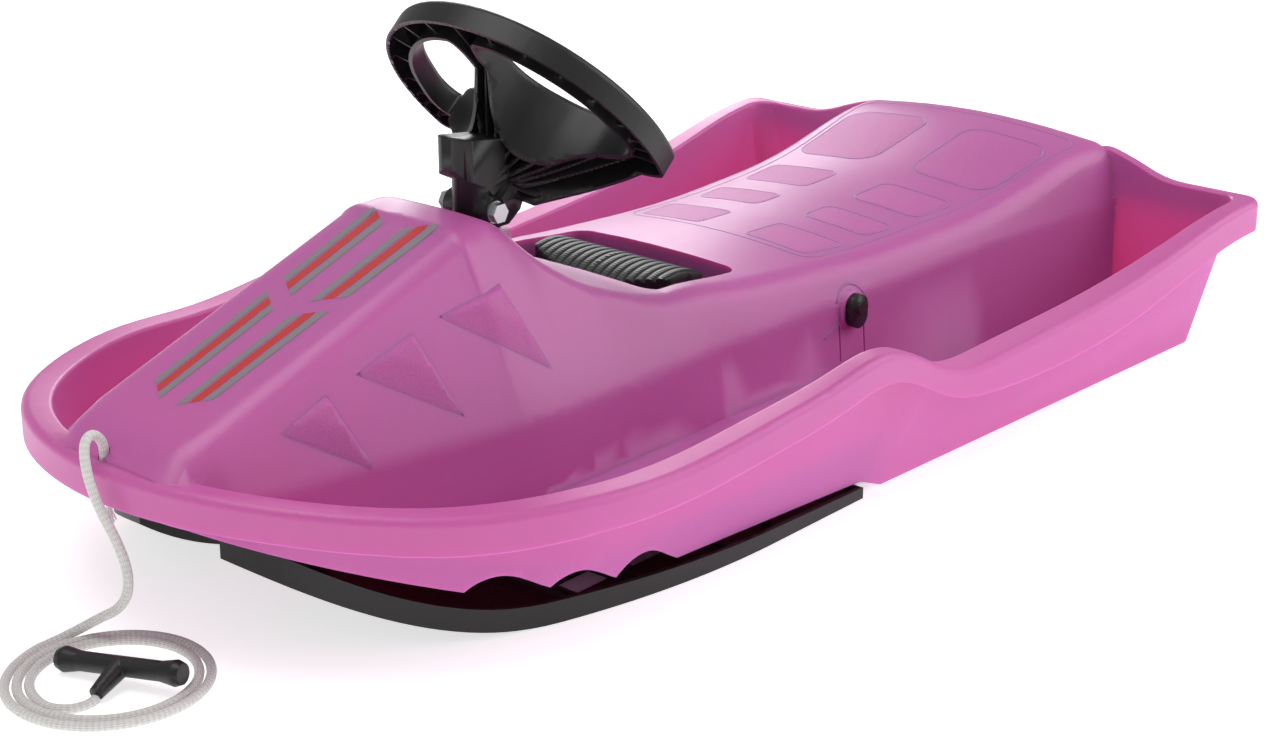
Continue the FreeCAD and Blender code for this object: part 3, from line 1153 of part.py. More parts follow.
def rope_knot():
    """Stopper knot under the rim, the stub through the flange and the cut end."""
    centre = V(ROPE_HOLE_X, ROPE_HOLE_Y, KNOT_Z)
    stub = rod(ROPE_DIAMETER, centre, V(ROPE_HOLE_X, ROPE_HOLE_Y, LEAD_START_Z))
    half = KNOT_DIAMETER / 2
    ring = [centre + V(r * half, 0, z * half) for r, z in KNOT_SHARES]
    knot = Part.Face(Part.makePolygon(ring + ring[:1])).revolve(centre, V(0, 0, 1), 360)
    end = rod(ROPE_DIAMETER, centre, centre - V(0, 0, half + KNOT_TAIL))
    return knot.fuse([stub, end])


def pull_handle():
    """T-handle: a waisted bar with a tapered boss that the rope enters."""
    half = HANDLE_LENGTH / 2
    neck, end = HANDLE_DIAMETER / 2, HANDLE_END / 2
    nose, bevel = end * HANDLE_TIP_SHARE, half * HANDLE_BEVEL_SHARE
    profile = [(0, -half), (nose, -half), (end, bevel - half), (neck, HANDLE_FLARE - half),
               (neck, half - HANDLE_FLARE), (end, half - bevel), (nose, half), (0, half)]
    ring = [V(0, y, r) for r, y in profile]
    bar = Part.Face(Part.makePolygon(ring + ring[:1])).revolve(V(0, 0, 0), V(0, 1, 0), 360)
    boss = Part.makeCone(HANDLE_BOSS / 2, HANDLE_BOSS_TIP / 2, HANDLE_BOSS_REACH, V(0, 0, 0), V(1, 0, 0))
    handle = bar.fuse(boss).removeSplitter()
    handle.translate(V(-HANDLE_BOSS_REACH, 0, 0))
    handle.rotate(V(0, 0, 0), V(1, 0, 0), HANDLE_ROLL)
    handle.rotate(V(0, 0, 0), V(0, 1, 0), HANDLE_PITCH)
    handle.rotate(V(0, 0, 0), V(0, 0, 1), HANDLE_HEADING - 180)
    last = coil_edges()[-1]
    tip = last.valueAt(last.LastParameter) + flat(HANDLE_HEADING) * HANDLE_TIP_GAP
    return handle.translated(V(tip.x, tip.y, COIL_LEVEL + HANDLE_TIP_LIFT))


if __name__ == "__main__":
    os.makedirs("parts", exist_ok=True)
    save("body_shell", body_shell())
    save("column_bush_upper", column_bush_upper())
    save("column_bush_lower", column_bush_lower())
    save("bearing_crossmember", bearing_crossmember())
    save("crossmember_screws", crossmember_screws())
    save("steering_column", steering_column())
    save("steering_wheel", steering_wheel())
    save("wheel_bolt", cross_bolt(WHEEL_Z, HUB_HALF_WIDTH))
    save("wheel_nut", cross_nut(WHEEL_Z, HUB_HALF_WIDTH))
    save("wheel_washers", cross_washers(WHEEL_Z, HUB_HALF_WIDTH))
    hub_seat = hub_foot() - RUN_FIT
    save("hub_washer", column_ring(HUB_WASHER_DIAMETER, hub_seat - HUB_WASHER_THICKNESS, hub_seat))
    save("steering_ski", steering_ski())
    save("ski_bolt", cross_bolt(SKI_BOLT_Z, SKI_HUB_HALF_WIDTH))
    save("ski_nut", cross_nut(SKI_BOLT_Z, SKI_HUB_HALF_WIDTH))
    save("ski_washers", cross_washers(SKI_BOLT_Z, SKI_HUB_HALF_WIDTH))
    save("thrust_washer", column_ring(HUB_WASHER_DIAMETER, SKI_HUB_TOP, SKI_HUB_TOP + HUB_WASHER_THICKNESS))
    save("brake_pivot_left", brake_pivot(1))
    save("brake_pivot_right", brake_pivot(-1))
    save("brake_yoke", brake_yoke())
    save("brake_grip", brake_grip())
    save("grip_screws", grip_screws())
    save("brake_claw", brake_claw())
    save("claw_rivets", claw_rivets())
    save("brake_spring", brake_spring())
    save("rope_knot", rope_knot())
    save("rope_lead", rope_tube(lead_edges()))
    save("rope_coil", rope_tube(coil_edges()))
    save("pull_handle", pull_handle())
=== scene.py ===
# %% [markdown]
# # Dressing a steering sled
#
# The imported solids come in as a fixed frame, in metres: +X is the nose, +Y the driver's left, +Z up.
# This lesson gives them the looks of a moulded plastic sled: skins with smooth shading, grained patches,
# printed stripes, a braided rope and a soft studio.

# %% Load the frame
import math

import bmesh
import bpy
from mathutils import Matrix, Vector
from mathutils.bvhtree import BVHTree


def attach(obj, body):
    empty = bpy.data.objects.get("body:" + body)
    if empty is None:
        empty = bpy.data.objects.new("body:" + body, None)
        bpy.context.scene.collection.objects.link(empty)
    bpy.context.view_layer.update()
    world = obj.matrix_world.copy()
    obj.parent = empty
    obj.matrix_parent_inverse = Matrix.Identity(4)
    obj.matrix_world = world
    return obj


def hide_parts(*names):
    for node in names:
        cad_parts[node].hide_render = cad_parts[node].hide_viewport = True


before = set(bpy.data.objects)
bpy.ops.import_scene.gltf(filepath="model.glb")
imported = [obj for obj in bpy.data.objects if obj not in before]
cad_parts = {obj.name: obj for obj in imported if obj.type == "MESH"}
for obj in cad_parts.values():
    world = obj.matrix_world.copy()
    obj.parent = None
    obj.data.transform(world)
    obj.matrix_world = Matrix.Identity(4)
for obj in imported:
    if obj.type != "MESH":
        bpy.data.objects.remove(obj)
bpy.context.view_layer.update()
MM = 0.001

# %% [markdown]
# ## Camera
#
# The photograph looks down on the nose from the driver's left with a long lens. A camera could be placed by eye, but
# this one was worked out from the sled's mirror symmetry and the flat ground. A long lens keeps the far rim nearly as
# large as the near one, so the place and the lens matter more than the exact aim.

# %% Camera at the photograph's viewpoint
CAMERA_PLACE = Vector((1.3209, 1.1589, 0.6992))
CAMERA_TARGET = Vector((-0.0134, 0.0, 0.0428))
LENS_MM = 67.5

camera_data = bpy.data.cameras.new("photo_camera")
camera_data.lens = LENS_MM
camera_data.sensor_fit = "HORIZONTAL"
camera = bpy.data.objects.new("photo_camera", camera_data)
bpy.context.scene.collection.objects.link(camera)
camera.location = CAMERA_PLACE
camera.rotation_euler = (CAMERA_TARGET - CAMERA_PLACE).to_track_quat("-Z", "Y").to_euler()
bpy.context.scene.camera = camera
print("camera to target", round((CAMERA_TARGET - CAMERA_PLACE).length, 3), "m")

# %% [markdown]
# ## Colours and nodes
#
# Colours are written as the hex values that a colour picker shows. Shaders work in linear light. Linear values could
# be typed in instead, but nobody can read them, so one function converts by the curve of the sRGB standard.


# %% From hex to linear light
def linear(hex_colour):
    """sRGB hex to linear RGBA."""
    channels = [int(hex_colour[i:i + 2], 16) / 255 for i in (1, 3, 5)]
    return [c / 12.92 if c <= 0.04045 else ((c + 0.055) / 1.055) ** 2.4 for c in channels] + [1.0]


print("#808080 is", round(linear("#808080")[0], 3), "in linear light")


# %% [markdown]
# A node tree is usually wired by hand in the editor. In a script every node takes several lines, so one small function
# adds a node, sets it and wires it, and a material reads as a short list of nodes. All finishes start from the
# same shader, with the values of their real material.


# %% Add a node, start a material
def add(tree, kind, links=(), into=None, **settings):
    """Add a node and wire it.

    links are pairs of an input and its source, and into is the socket that the node's first output feeds. settings
    are the node's attributes, or in_N for the value of input N.
    """
    node = tree.nodes.new(kind)
    for key, value in settings.items():
        if key.startswith("in_"):
            node.inputs[int(key[3:])].default_value = value
        else:
            setattr(node, key, value)
    for name, source in links:
        tree.links.new(source, node.inputs[name])
    if into is not None:
        tree.links.new(node.outputs[0], into)
    return node


def new_material(name, base, roughness, ior=1.5, metallic=0.0):
    """A material with one Principled shader, its plain values set on the shader's own sockets."""
    material = bpy.data.materials.new(name)
    material.use_nodes = True
    shader = material.node_tree.nodes["Principled BSDF"]
    shader.inputs["Base Color"].default_value = linear(base)
    shader.inputs["Roughness"].default_value = roughness
    shader.inputs["Metallic"].default_value = metallic
    if metallic == 0.0:
        shader.inputs["IOR"].default_value = ior
    return material, material.node_tree, shader


# %% [markdown]
# ## Grain and mottle
#
# Every moulded, plated or printed surface here has a fine relief, and is a little uneven in gloss or colour. A photo
# texture could show both, but noise sized in millimetres fits any piece and needs no file. On the black, plated, nylon
# and printed pieces the real relief is too fine to show at this distance, so it is drawn coarser.


# %% Two effects that most finishes share
def grain(tree, shader, coordinates, size_mm, strength, depth_mm, detail=2.0):
    """Fine bump from noise whose grains are about size_mm across."""
    noise = add(tree, "ShaderNodeTexNoise", [("Vector", coordinates)])
    noise.inputs["Scale"].default_value = 1.0 / (size_mm * MM)
    noise.inputs["Detail"].default_value = detail
    bump = add(tree, "ShaderNodeBump", [("Height", noise.outputs[0])], shader.inputs["Normal"])
    bump.inputs["Strength"].default_value = strength
    bump.inputs["Distance"].default_value = depth_mm * MM
    return noise


def mottle(tree, shader, source, roughness=None, colours=None):
    """Let a texture vary the roughness between two values, or the colour between two hex values."""
    if roughness:
        low, high = roughness
        add(tree, "ShaderNodeMapRange", [(0, source)], shader.inputs["Roughness"], in_3=low, in_4=high)
    if colours:
        ramp = add(tree, "ShaderNodeValToRGB", [(0, source)], shader.inputs["Base Color"])
        for stop, colour in zip(ramp.color_ramp.elements, colours):
            stop.color = linear(colour)


# %% [markdown]
# ## Pink polyethylene
#
# The hull is high-density polyethylene, moulded and slightly waxy. Light enters it and scatters, so its shaded insides
# keep a strong pink. A painted-on glow could fake that, but it would look the same in any light, so the shader's
# own subsurface scattering does it. Boots scuff the low walls of the wells, which are duller than the rest.

# %% The hull's smooth skin
SCATTER_WEIGHT = 0.7
SCATTER_RADIUS = (1.0, 0.15, 0.40)  # red travels furthest
SCATTER_DEPTH_MM = 15
FLOW_ROUGHNESS = (0.31, 0.38)
SCUFF_ROUGHNESS = 0.28
SCUFF_FULL_MM = 70.0  # height below which the scuffing is full
SCUFF_NONE_MM = 125.0
CLOUD_MM = 160


def let_light_through(shader):
    """Scatter inside the plastic, so shaded walls stay coloured."""
    shader.inputs["Subsurface Weight"].default_value = SCATTER_WEIGHT
    shader.inputs["Subsurface Radius"].default_value = SCATTER_RADIUS
    shader.inputs["Subsurface Scale"].default_value = SCATTER_DEPTH_MM * MM


def pink_polyethylene():
    """Semi-gloss moulding with faint flow marks, soft colour clouds and scuffed low walls."""
    material, tree, shader = new_material("moulded_polyethylene_pink", "#CA66AE", roughness=0.35, ior=1.52)
    place = add(tree, "ShaderNodeTexCoord").outputs["Object"]
    flow = grain(tree, shader, place, size_mm=14.0, strength=0.06, depth_mm=0.25)
    height = add(tree, "ShaderNodeSeparateXYZ", [("Vector", place)]).outputs[2]
    scuff = add(tree, "ShaderNodeMapRange", [(0, height)], in_1=SCUFF_FULL_MM * MM, in_2=SCUFF_NONE_MM * MM,
                in_3=SCUFF_ROUGHNESS, in_4=0.0)
    rough = add(tree, "ShaderNodeMath", [(1, scuff.outputs[0])], shader.inputs["Roughness"], operation="ADD")
    low, high = FLOW_ROUGHNESS
    add(tree, "ShaderNodeMapRange", [(0, flow.outputs[0])], rough.inputs[0], in_3=low, in_4=high)
    shader.inputs["Specular IOR Level"].default_value = 0.55
    clouds = add(tree, "ShaderNodeTexNoise", [("Vector", place)])
    clouds.inputs["Scale"].default_value = 1.0 / (CLOUD_MM * MM)
    mottle(tree, shader, clouds.outputs[0], colours=("#C763AB", "#CD69B1"))
    let_light_through(shader)
    return material


PINK = pink_polyethylene()
print("made", PINK.name)


# %% [markdown]
# The seat patches and the wedges on the bonnet are the same plastic with a coarse grain from the mould. Modelled
# pimples would cost many faces, so a bump gives the grain, which looks matt beside the smooth skin.


# %% Grained pink
def pink_grain():
    """The hull's plastic with a moulded grain that breaks up the gloss."""
    material, tree, shader = new_material("moulded_polyethylene_pink_grained", "#C763AB", roughness=0.46, ior=1.52)
    place = add(tree, "ShaderNodeTexCoord").outputs["Object"]
    noise = grain(tree, shader, place, size_mm=1.6, strength=0.7, depth_mm=0.4, detail=1.0)
    mottle(tree, shader, noise.outputs[0], colours=("#C05CA4", "#CD69B1"))
    let_light_through(shader)
    return material


PINK_GRAIN = pink_grain()
print("made", PINK_GRAIN.name)

# %% [markdown]
# ## Black polypropylene
#
# Wheel, handle, brake and ski are moulded in black. Pure black would hide their form, so the base is a dark grey with
# a satin gloss, and slow noise makes patches of it a touch lighter, as wear does.

# %% Satin and matt black
WEAR_MM = 28
GRAIN_GLOSSIER, GRAIN_DULLER = 0.05, 0.07


def black_polypropylene(name, roughness, grain_mm):
    """Dark satin plastic whose fine grain spreads the highlights."""
    material, tree, shader = new_material(name, "#1B1A1B", roughness, ior=1.49)
    place = add(tree, "ShaderNodeTexCoord").outputs["Object"]
    noise = grain(tree, shader, place, size_mm=grain_mm, strength=0.25, depth_mm=0.15)
    mottle(tree, shader, noise.outputs[0], roughness=(roughness - GRAIN_GLOSSIER, roughness + GRAIN_DULLER))
    wear = add(tree, "ShaderNodeTexNoise", [("Vector", place)])
    wear.inputs["Scale"].default_value = 1.0 / (WEAR_MM * MM)
    mottle(tree, shader, wear.outputs[0], colours=("#171617", "#201F20"))
    return material


BLACK = black_polypropylene("moulded_polypropylene_black", roughness=0.38, grain_mm=1.4)
BLACK_SKI = black_polypropylene("moulded_polypropylene_black_matt", roughness=0.50, grain_mm=2.2)
print("made", BLACK.name, "and", BLACK_SKI.name)


# %% [markdown]
# ## Steel and nylon
#
# Screws, column and brake claw are zinc-plated steel, and the bushes are natural nylon. Both are mostly hidden, so
# each gets a simple finish: a grain, and a roughness that follows it.


# %% Zinc plate and cream nylon
def zinc_steel():
    """Bright plate with fine marks that blur the highlight."""
    material, tree, shader = new_material("zinc_plated_steel", "#C4C7CB", roughness=0.30, metallic=1.0)
    place = add(tree, "ShaderNodeTexCoord").outputs["Object"]
    noise = grain(tree, shader, place, size_mm=0.9, strength=0.15, depth_mm=0.05)
    mottle(tree, shader, noise.outputs[0], roughness=(0.24, 0.38))
    return material


def natural_nylon():
    """Cream bearing plastic, matt from moulding."""
    material, tree, shader = new_material("natural_nylon", "#DDD8C8", roughness=0.45, ior=1.53)
    place = add(tree, "ShaderNodeTexCoord").outputs["Object"]
    noise = grain(tree, shader, place, size_mm=1.2, strength=0.15, depth_mm=0.08)
    mottle(tree, shader, noise.outputs[0], roughness=(0.40, 0.52))
    return material


ZINC = zinc_steel()
NYLON = natural_nylon()
print("made", ZINC.name, "and", NYLON.name)

# %% [markdown]
# ## Braided rope
#
# The pull rope is a white polypropylene braid: two sets of strands run round it in opposite ways and cross as
# diamonds. Every strand could be a curve, but that is heavy. Two sine waves on the rope's own UV map, multiplied, give
# the same diamonds as a bump.

# %% White braid
BRAID_ENDS = 8
BRAID_LAY_MM = 7.0
BRAID_RELIEF_MM = 0.6


def braided_rope():
    """White braid with painted shade in the gaps between the crests. UV is millimetres along, and turns around."""
    material, tree, shader = new_material("braided_polypropylene_rope", "#ECEAE6", roughness=0.75, ior=1.49)
    place = add(tree, "ShaderNodeUVMap").outputs[0]
    split = add(tree, "ShaderNodeSeparateXYZ", [("Vector", place)])
    waves = []
    for axis, factor in ((0, 2 * math.pi / BRAID_LAY_MM), (1, 2 * math.pi * BRAID_ENDS)):
        wave = add(tree, "ShaderNodeMath", [(0, split.outputs[axis])], operation="MULTIPLY", in_1=factor)
        waves.append(wave.outputs[0])
    heights = []
    for operation in ("ADD", "SUBTRACT"):
        phase = add(tree, "ShaderNodeMath", [(0, waves[0]), (1, waves[1])], operation=operation)
        heights.append(add(tree, "ShaderNodeMath", [(0, phase.outputs[0])], operation="SINE").outputs[0])
    crest = add(tree, "ShaderNodeMath", [(0, heights[0]), (1, heights[1])], operation="MULTIPLY")
    level = add(tree, "ShaderNodeMapRange", [(0, crest.outputs[0])], in_1=-1.0)
    bump = add(tree, "ShaderNodeBump", [("Height", level.outputs[0])], shader.inputs["Normal"])
    bump.inputs["Strength"].default_value = 1.0
    bump.inputs["Distance"].default_value = BRAID_RELIEF_MM * MM
    # painted shade: the colour darkens in the braid's gaps and lightens on its crests, following the bump height
    mottle(tree, shader, level.outputs[0], colours=("#E2DFDA", "#FAF9F7"))
    shader.inputs["Sheen Weight"].default_value = 0.3
    return material


ROPE = braided_rope()
print("made", ROPE.name)


# %% [markdown]
# ## Printed film
#
# The bonnet's stripes are a printed film. Colour painted by position on the hull would blur when the model is baked,
# so each stripe is a thin piece of its own, flatter and a little smoother than the plastic around it.


# %% Grey and red film
def printed_film(name, colour):
    """Thin ink with an even, slightly glossy face."""
    material, tree, shader = new_material(name, colour, roughness=0.32, ior=1.5)
    place = add(tree, "ShaderNodeTexCoord").outputs["Object"]
    noise = grain(tree, shader, place, size_mm=5.0, strength=0.06, depth_mm=0.1)
    mottle(tree, shader, noise.outputs[0], roughness=(0.28, 0.38))
    return material


PRINT_GREY = printed_film("printed_film_grey", "#8E878B")
PRINT_RED = printed_film("printed_film_red", "#CF3A31")
print("materials", len(bpy.data.materials))

# %% [markdown]
# ## Smooth skins over the solids
#
# The large pieces are mouldings with soft rounds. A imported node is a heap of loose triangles, which shades in flats.
# The pieces could be modelled again, but a copy with its corners merged keeps the exact shape. It can be shaded
# smooth, with a hard edge only where two faces meet at more than a set angle. A Weighted Normal modifier lets large
# faces set the shading, so they stay flat beside a round. The copy stands for its node.

# %% Skins for the moulded pieces
MERGE_MM = 0.01
SLIVER_MM = 0.005


def skin(node, body, material, sharp_deg):
    """Merged, smooth-shaded copy of a node that replaces it."""
    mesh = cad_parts[node].data.copy()
    bm = bmesh.new()
    bm.from_mesh(mesh)
    bmesh.ops.remove_doubles(bm, verts=bm.verts, dist=MERGE_MM * MM)
    bmesh.ops.dissolve_degenerate(bm, edges=bm.edges, dist=SLIVER_MM * MM)
    bm.to_mesh(mesh)
    bm.free()
    mesh.shade_smooth()
    mesh.set_sharp_from_angle(angle=math.radians(sharp_deg))
    mesh.materials.clear()
    mesh.materials.append(material)
    piece = bpy.data.objects.new(node + "_skin", mesh)
    bpy.context.scene.collection.objects.link(piece)
    weight = piece.modifiers.new("face_weights", "WEIGHTED_NORMAL")
    weight.keep_sharp = True
    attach(piece, body)
    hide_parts(node)
    return piece


hull = skin("body_shell", "hull", PINK, sharp_deg=32)
wheel = skin("steering_wheel", "steering", BLACK, sharp_deg=35)
ski = skin("steering_ski", "steering", BLACK_SKI, sharp_deg=30)
skin("brake_grip", "brake", BLACK, sharp_deg=30)
skin("brake_yoke", "brake", BLACK, sharp_deg=30)
skin("brake_pivot_left", "hull", BLACK, sharp_deg=35)
skin("brake_pivot_right", "hull", BLACK, sharp_deg=35)
handle = skin("pull_handle", "hull", BLACK, sharp_deg=40)
skin("bearing_crossmember", "hull", BLACK_SKI, sharp_deg=30)
print("hull skin", len(hull.data.polygons), "faces")

# %% [markdown]
# Bolts, washers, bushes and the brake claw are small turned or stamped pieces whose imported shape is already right.
# They stay as packed, and only their material slots are filled.

# %% Metal and nylon nodes
METAL_NODES = ["crossmember_screws", "steering_column", "wheel_bolt", "wheel_nut", "wheel_washers", "ski_bolt",
               "ski_nut", "ski_washers", "grip_screws", "brake_claw", "claw_rivets", "brake_spring"]
NYLON_NODES = ["column_bush_upper", "column_bush_lower", "hub_washer", "thrust_washer"]
for names, material in ((METAL_NODES, ZINC), (NYLON_NODES, NYLON)):
    for name in names:
        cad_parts[name].data.materials.clear()
        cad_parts[name].data.materials.append(material)
print("metal", len(METAL_NODES), "nylon", len(NYLON_NODES))

# %% [markdown]
# ## Pull rope
#
# The rope leaves the nose, drops over the rim and lies in loose turns on the ground. A simulated rope would never fall
# in the turns of the photograph, so its route is a NURBS curve: the control points are the corners of the real
# route, and the curve rounds them.

# %% The rope's route
LEAD_MM = [
    (489.0, -9.0, 129.0), (489.0, -9.0, 135.0), (497.0, -7.5, 143.5), (506.0, -4.0, 142.5), (510.5, 0.0, 134.5),
    (512.5, 5.5, 120.0), (511.0, 12.5, 102.0), (508.5, 23.5, 84.0), (507.0, 31.0, 65.0), (506.0, 28.0, 47.0),
    (505.5, 15.0, 32.0), (505.0, -5.0, 20.0), (511.0, -19.0, 10.0),
]
COIL_START_MM = [(524.4, -27.6, 3.4)]
COIL_CENTRE_MM = (532.0, 38.0)
COIL_LEVEL_MM = 3.4
COIL_RADIUS_MM = 64.0
COIL_PITCH_MM = 7.6
COIL_START_DEG = -96.0
COIL_SWEEPS_DEG = [180, 180, 180, 180, 104]
POINTS_PER_SWEEP = [6, 6, 6, 6, 4]
COIL_END_MM = [(581.2, 45.3, 3.4), (573.7, 56.0, 3.4), (561.0, 58.4, 3.4), (555.9, 55.3, 3.4)]
ROUTE_ORDER = 3
STEPS_PER_POINT = 8


def coil_points():
    """Half turns about centres that step aside, each a half pitch smaller; the curve lies inside its points."""
    x, y = COIL_CENTRE_MM
    radius, start = COIL_RADIUS_MM, COIL_START_DEG
    points = []
    for sweep, count in zip(COIL_SWEEPS_DEG, POINTS_PER_SWEEP):
        step = sweep / count
        outside = radius / math.cos(math.radians(step / 2))
        for i in range(count):
            angle = math.radians(start + step * (i + 0.5))
            points.append((x + outside * math.cos(angle), y + outside * math.sin(angle), COIL_LEVEL_MM))
        start += sweep
        x += math.cos(math.radians(start)) * COIL_PITCH_MM / 2
        y += math.sin(math.radians(start)) * COIL_PITCH_MM / 2
        radius -= COIL_PITCH_MM / 2
    return points


def nurbs_route(name, points):
    """Points in metres along the smooth curve that control points in millimetres give."""
    curve = bpy.data.curves.new(name, "CURVE")
    curve.dimensions = "3D"
    curve.resolution_u = STEPS_PER_POINT
    spline = curve.splines.new("NURBS")
    spline.points.add(len(points) - 1)
    for point, place in zip(spline.points, points):
        point.co = [c * MM for c in place] + [1.0]
    spline.order_u = ROUTE_ORDER
    spline.use_endpoint_u = True
    carrier = bpy.data.objects.new(name, curve)
    bpy.context.scene.collection.objects.link(carrier)
    bpy.context.view_layer.update()
    mesh = bpy.data.meshes.new_from_object(carrier)
    route = [v.co.copy() for v in mesh.vertices]
    bpy.data.objects.remove(carrier)
    bpy.data.meshes.remove(mesh)
    return route


rope_route = nurbs_route("rope_route", LEAD_MM + COIL_START_MM + coil_points() + COIL_END_MM)
print("route points", len(rope_route))

# %% [markdown]
# A curve's own bevel would be the short way to a rope, but its UV map doesn't measure millimetres. A tube built ring
# by ring has a UV map in real lengths, so the braid keeps its size along the whole rope.

# %% The rope's tube
ROPE_DIAMETER = 6.5 * MM
ROPE_SIDES = 14
NEARLY_ALONG = 0.99


def tube_mesh(name, route, diameter, sides, material):
    """Round tube along a route, with UV in millimetres along and turns around, and closed ends."""
    bm = bmesh.new()
    uv = bm.loops.layers.uv.new("UVMap")
    across = Vector((0, 0, 1))
    rings, marks = [], []
    length = 0.0
    for i, place in enumerate(route):
        along = (route[min(i + 1, len(route) - 1)] - route[max(i - 1, 0)]).normalized()
        if abs(along.dot(across)) > NEARLY_ALONG:
            across = Vector((1, 0, 0))
        across = (across - along * along.dot(across)).normalized()
        side = along.cross(across)
        if i:
            length += (place - route[i - 1]).length
        ring = []
        for k in range(sides):
            angle = 2 * math.pi * k / sides
            ring.append(bm.verts.new(place + (across * math.cos(angle) + side * math.sin(angle)) * diameter / 2))
        rings.append(ring)
        marks.append(length / MM)
    for i in range(len(rings) - 1):
        for k in range(sides):
            corners = [rings[i][k], rings[i][(k + 1) % sides], rings[i + 1][(k + 1) % sides], rings[i + 1][k]]
            face = bm.faces.new(corners)
            places = [(marks[i], k), (marks[i], k + 1), (marks[i + 1], k + 1), (marks[i + 1], k)]
            for loop, (u, v) in zip(face.loops, places):
                loop[uv].uv = (u, v / sides)
            face.smooth = True
    bm.faces.new(list(reversed(rings[0])))
    bm.faces.new(rings[-1])
    bmesh.ops.recalc_face_normals(bm, faces=bm.faces)
    mesh = bpy.data.meshes.new(name)
    bm.to_mesh(mesh)
    bm.free()
    mesh.materials.append(material)
    piece = bpy.data.objects.new(name, mesh)
    bpy.context.scene.collection.objects.link(piece)
    return piece, length


rope, rope_length = tube_mesh("pull_rope", rope_route, ROPE_DIAMETER, ROPE_SIDES, ROPE)
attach(rope, "hull")
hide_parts("rope_lead", "rope_coil")
print("rope length", round(rope_length, 3), "m")

# %% [markdown]
# An overhand knot under the rim stops the rope. Its crossings could be drawn point by point, but a trefoil curve,
# drawn small and thick, gives them by a short rule.

# %% The stopper knot
KNOT_PLACE_MM = (489.0, -9.0, 98.0)
KNOT_SCALE_MM = 1.55
KNOT_DEPTH = 1.6
KNOT_STEPS = 48
KNOT_STRAND_MM = 5.2
KNOT_SIDES = 12
STUB_HEIGHTS_MM = (96.0, 104.0, 112.0, 120.0, 129.5)


def knot_route():
    """Trefoil about the knot's place, ending where it starts."""
    route = []
    for i in range(KNOT_STEPS + 1):
        t = 2 * math.pi * i / KNOT_STEPS
        x = math.sin(t) + 2 * math.sin(2 * t)
        y = math.cos(t) - 2 * math.cos(2 * t)
        z = -KNOT_DEPTH * math.sin(3 * t)
        route.append(Vector(KNOT_PLACE_MM) * MM + Vector((x, y, z)) * KNOT_SCALE_MM * MM)
    return route


stub_route = [Vector((*KNOT_PLACE_MM[:2], z)) * MM for z in STUB_HEIGHTS_MM]
knot, knot_length = tube_mesh("rope_knot_turns", knot_route(), KNOT_STRAND_MM * MM, KNOT_SIDES, ROPE)
stub, _ = tube_mesh("rope_stub", stub_route, ROPE_DIAMETER, ROPE_SIDES, ROPE)
print("knot length", round(knot_length, 3), "m")

# %% [markdown]
# The cut end below the knot has begun to fray. A hair system would suit a brush, but a few thick strands only need
# a small Geometry Nodes group: it sets one strand on many points, turned and leaning by its index.

# %% The frayed end
FRAY_STRANDS = 14
FRAY_LENGTH_MM = 14.0
FRAY_STRAND_MM = 1.1
FRAY_SIDES = 6
FRAY_LEAN_DEG = 1.6
FRAY_BELOW_MM = 4
GOLDEN_ANGLE = 2.4
STRAND_INPUTS = {"Place": "NodeSocketVector", "Strands": "NodeSocketInt", "Length": "NodeSocketFloat",
                 "Thickness": "NodeSocketFloat", "Lean": "NodeSocketFloat", "Material": "NodeSocketMaterial"}


def strand_nodes():
    """Node group that fans strands out from one place, each turned by the golden angle and leaning more."""
    group = bpy.data.node_groups.new("frayed_end", "GeometryNodeTree")
    group.interface.new_socket("Geometry", in_out="OUTPUT", socket_type="NodeSocketGeometry")
    for name, kind in STRAND_INPUTS.items():
        group.interface.new_socket(name, in_out="INPUT", socket_type=kind)
    enter = group.nodes.new("NodeGroupInput").outputs
    leave = group.nodes.new("NodeGroupOutput")
    points = add(group, "GeometryNodePoints", [("Count", enter["Strands"]), ("Position", enter["Place"])])
    index = add(group, "GeometryNodeInputIndex").outputs[0]
    turn = add(group, "ShaderNodeMath", [(0, index)], operation="MULTIPLY", in_1=GOLDEN_ANGLE)
    lean = add(group, "ShaderNodeMath", [(0, index), (1, enter["Lean"])], operation="MULTIPLY")
    angles = add(group, "ShaderNodeCombineXYZ", [(0, lean.outputs[0]), (2, turn.outputs[0])])
    down = add(group, "ShaderNodeMath", [(0, enter["Length"])], operation="MULTIPLY", in_1=-1.0)
    tip = add(group, "ShaderNodeCombineXYZ", [(2, down.outputs[0])])
    line = add(group, "GeometryNodeCurvePrimitiveLine", [("End", tip.outputs[0])])
    radius = add(group, "ShaderNodeMath", [(0, enter["Thickness"])], operation="MULTIPLY", in_1=0.5)
    ring = add(group, "GeometryNodeCurvePrimitiveCircle", [("Radius", radius.outputs[0])])
    ring.inputs["Resolution"].default_value = FRAY_SIDES
    strand = add(group, "GeometryNodeCurveToMesh", [("Curve", line.outputs[0]), ("Profile Curve", ring.outputs[0])])
    strand.inputs["Fill Caps"].default_value = True
    fan = add(group, "GeometryNodeInstanceOnPoints", [("Points", points.outputs[0]), ("Instance", strand.outputs[0]),
                                                      ("Rotation", angles.outputs[0])])
    real = add(group, "GeometryNodeRealizeInstances", [("Geometry", fan.outputs[0])])
    add(group, "GeometryNodeSetMaterial", [("Geometry", real.outputs[0]), ("Material", enter["Material"])],
        leave.inputs[0])
    return group


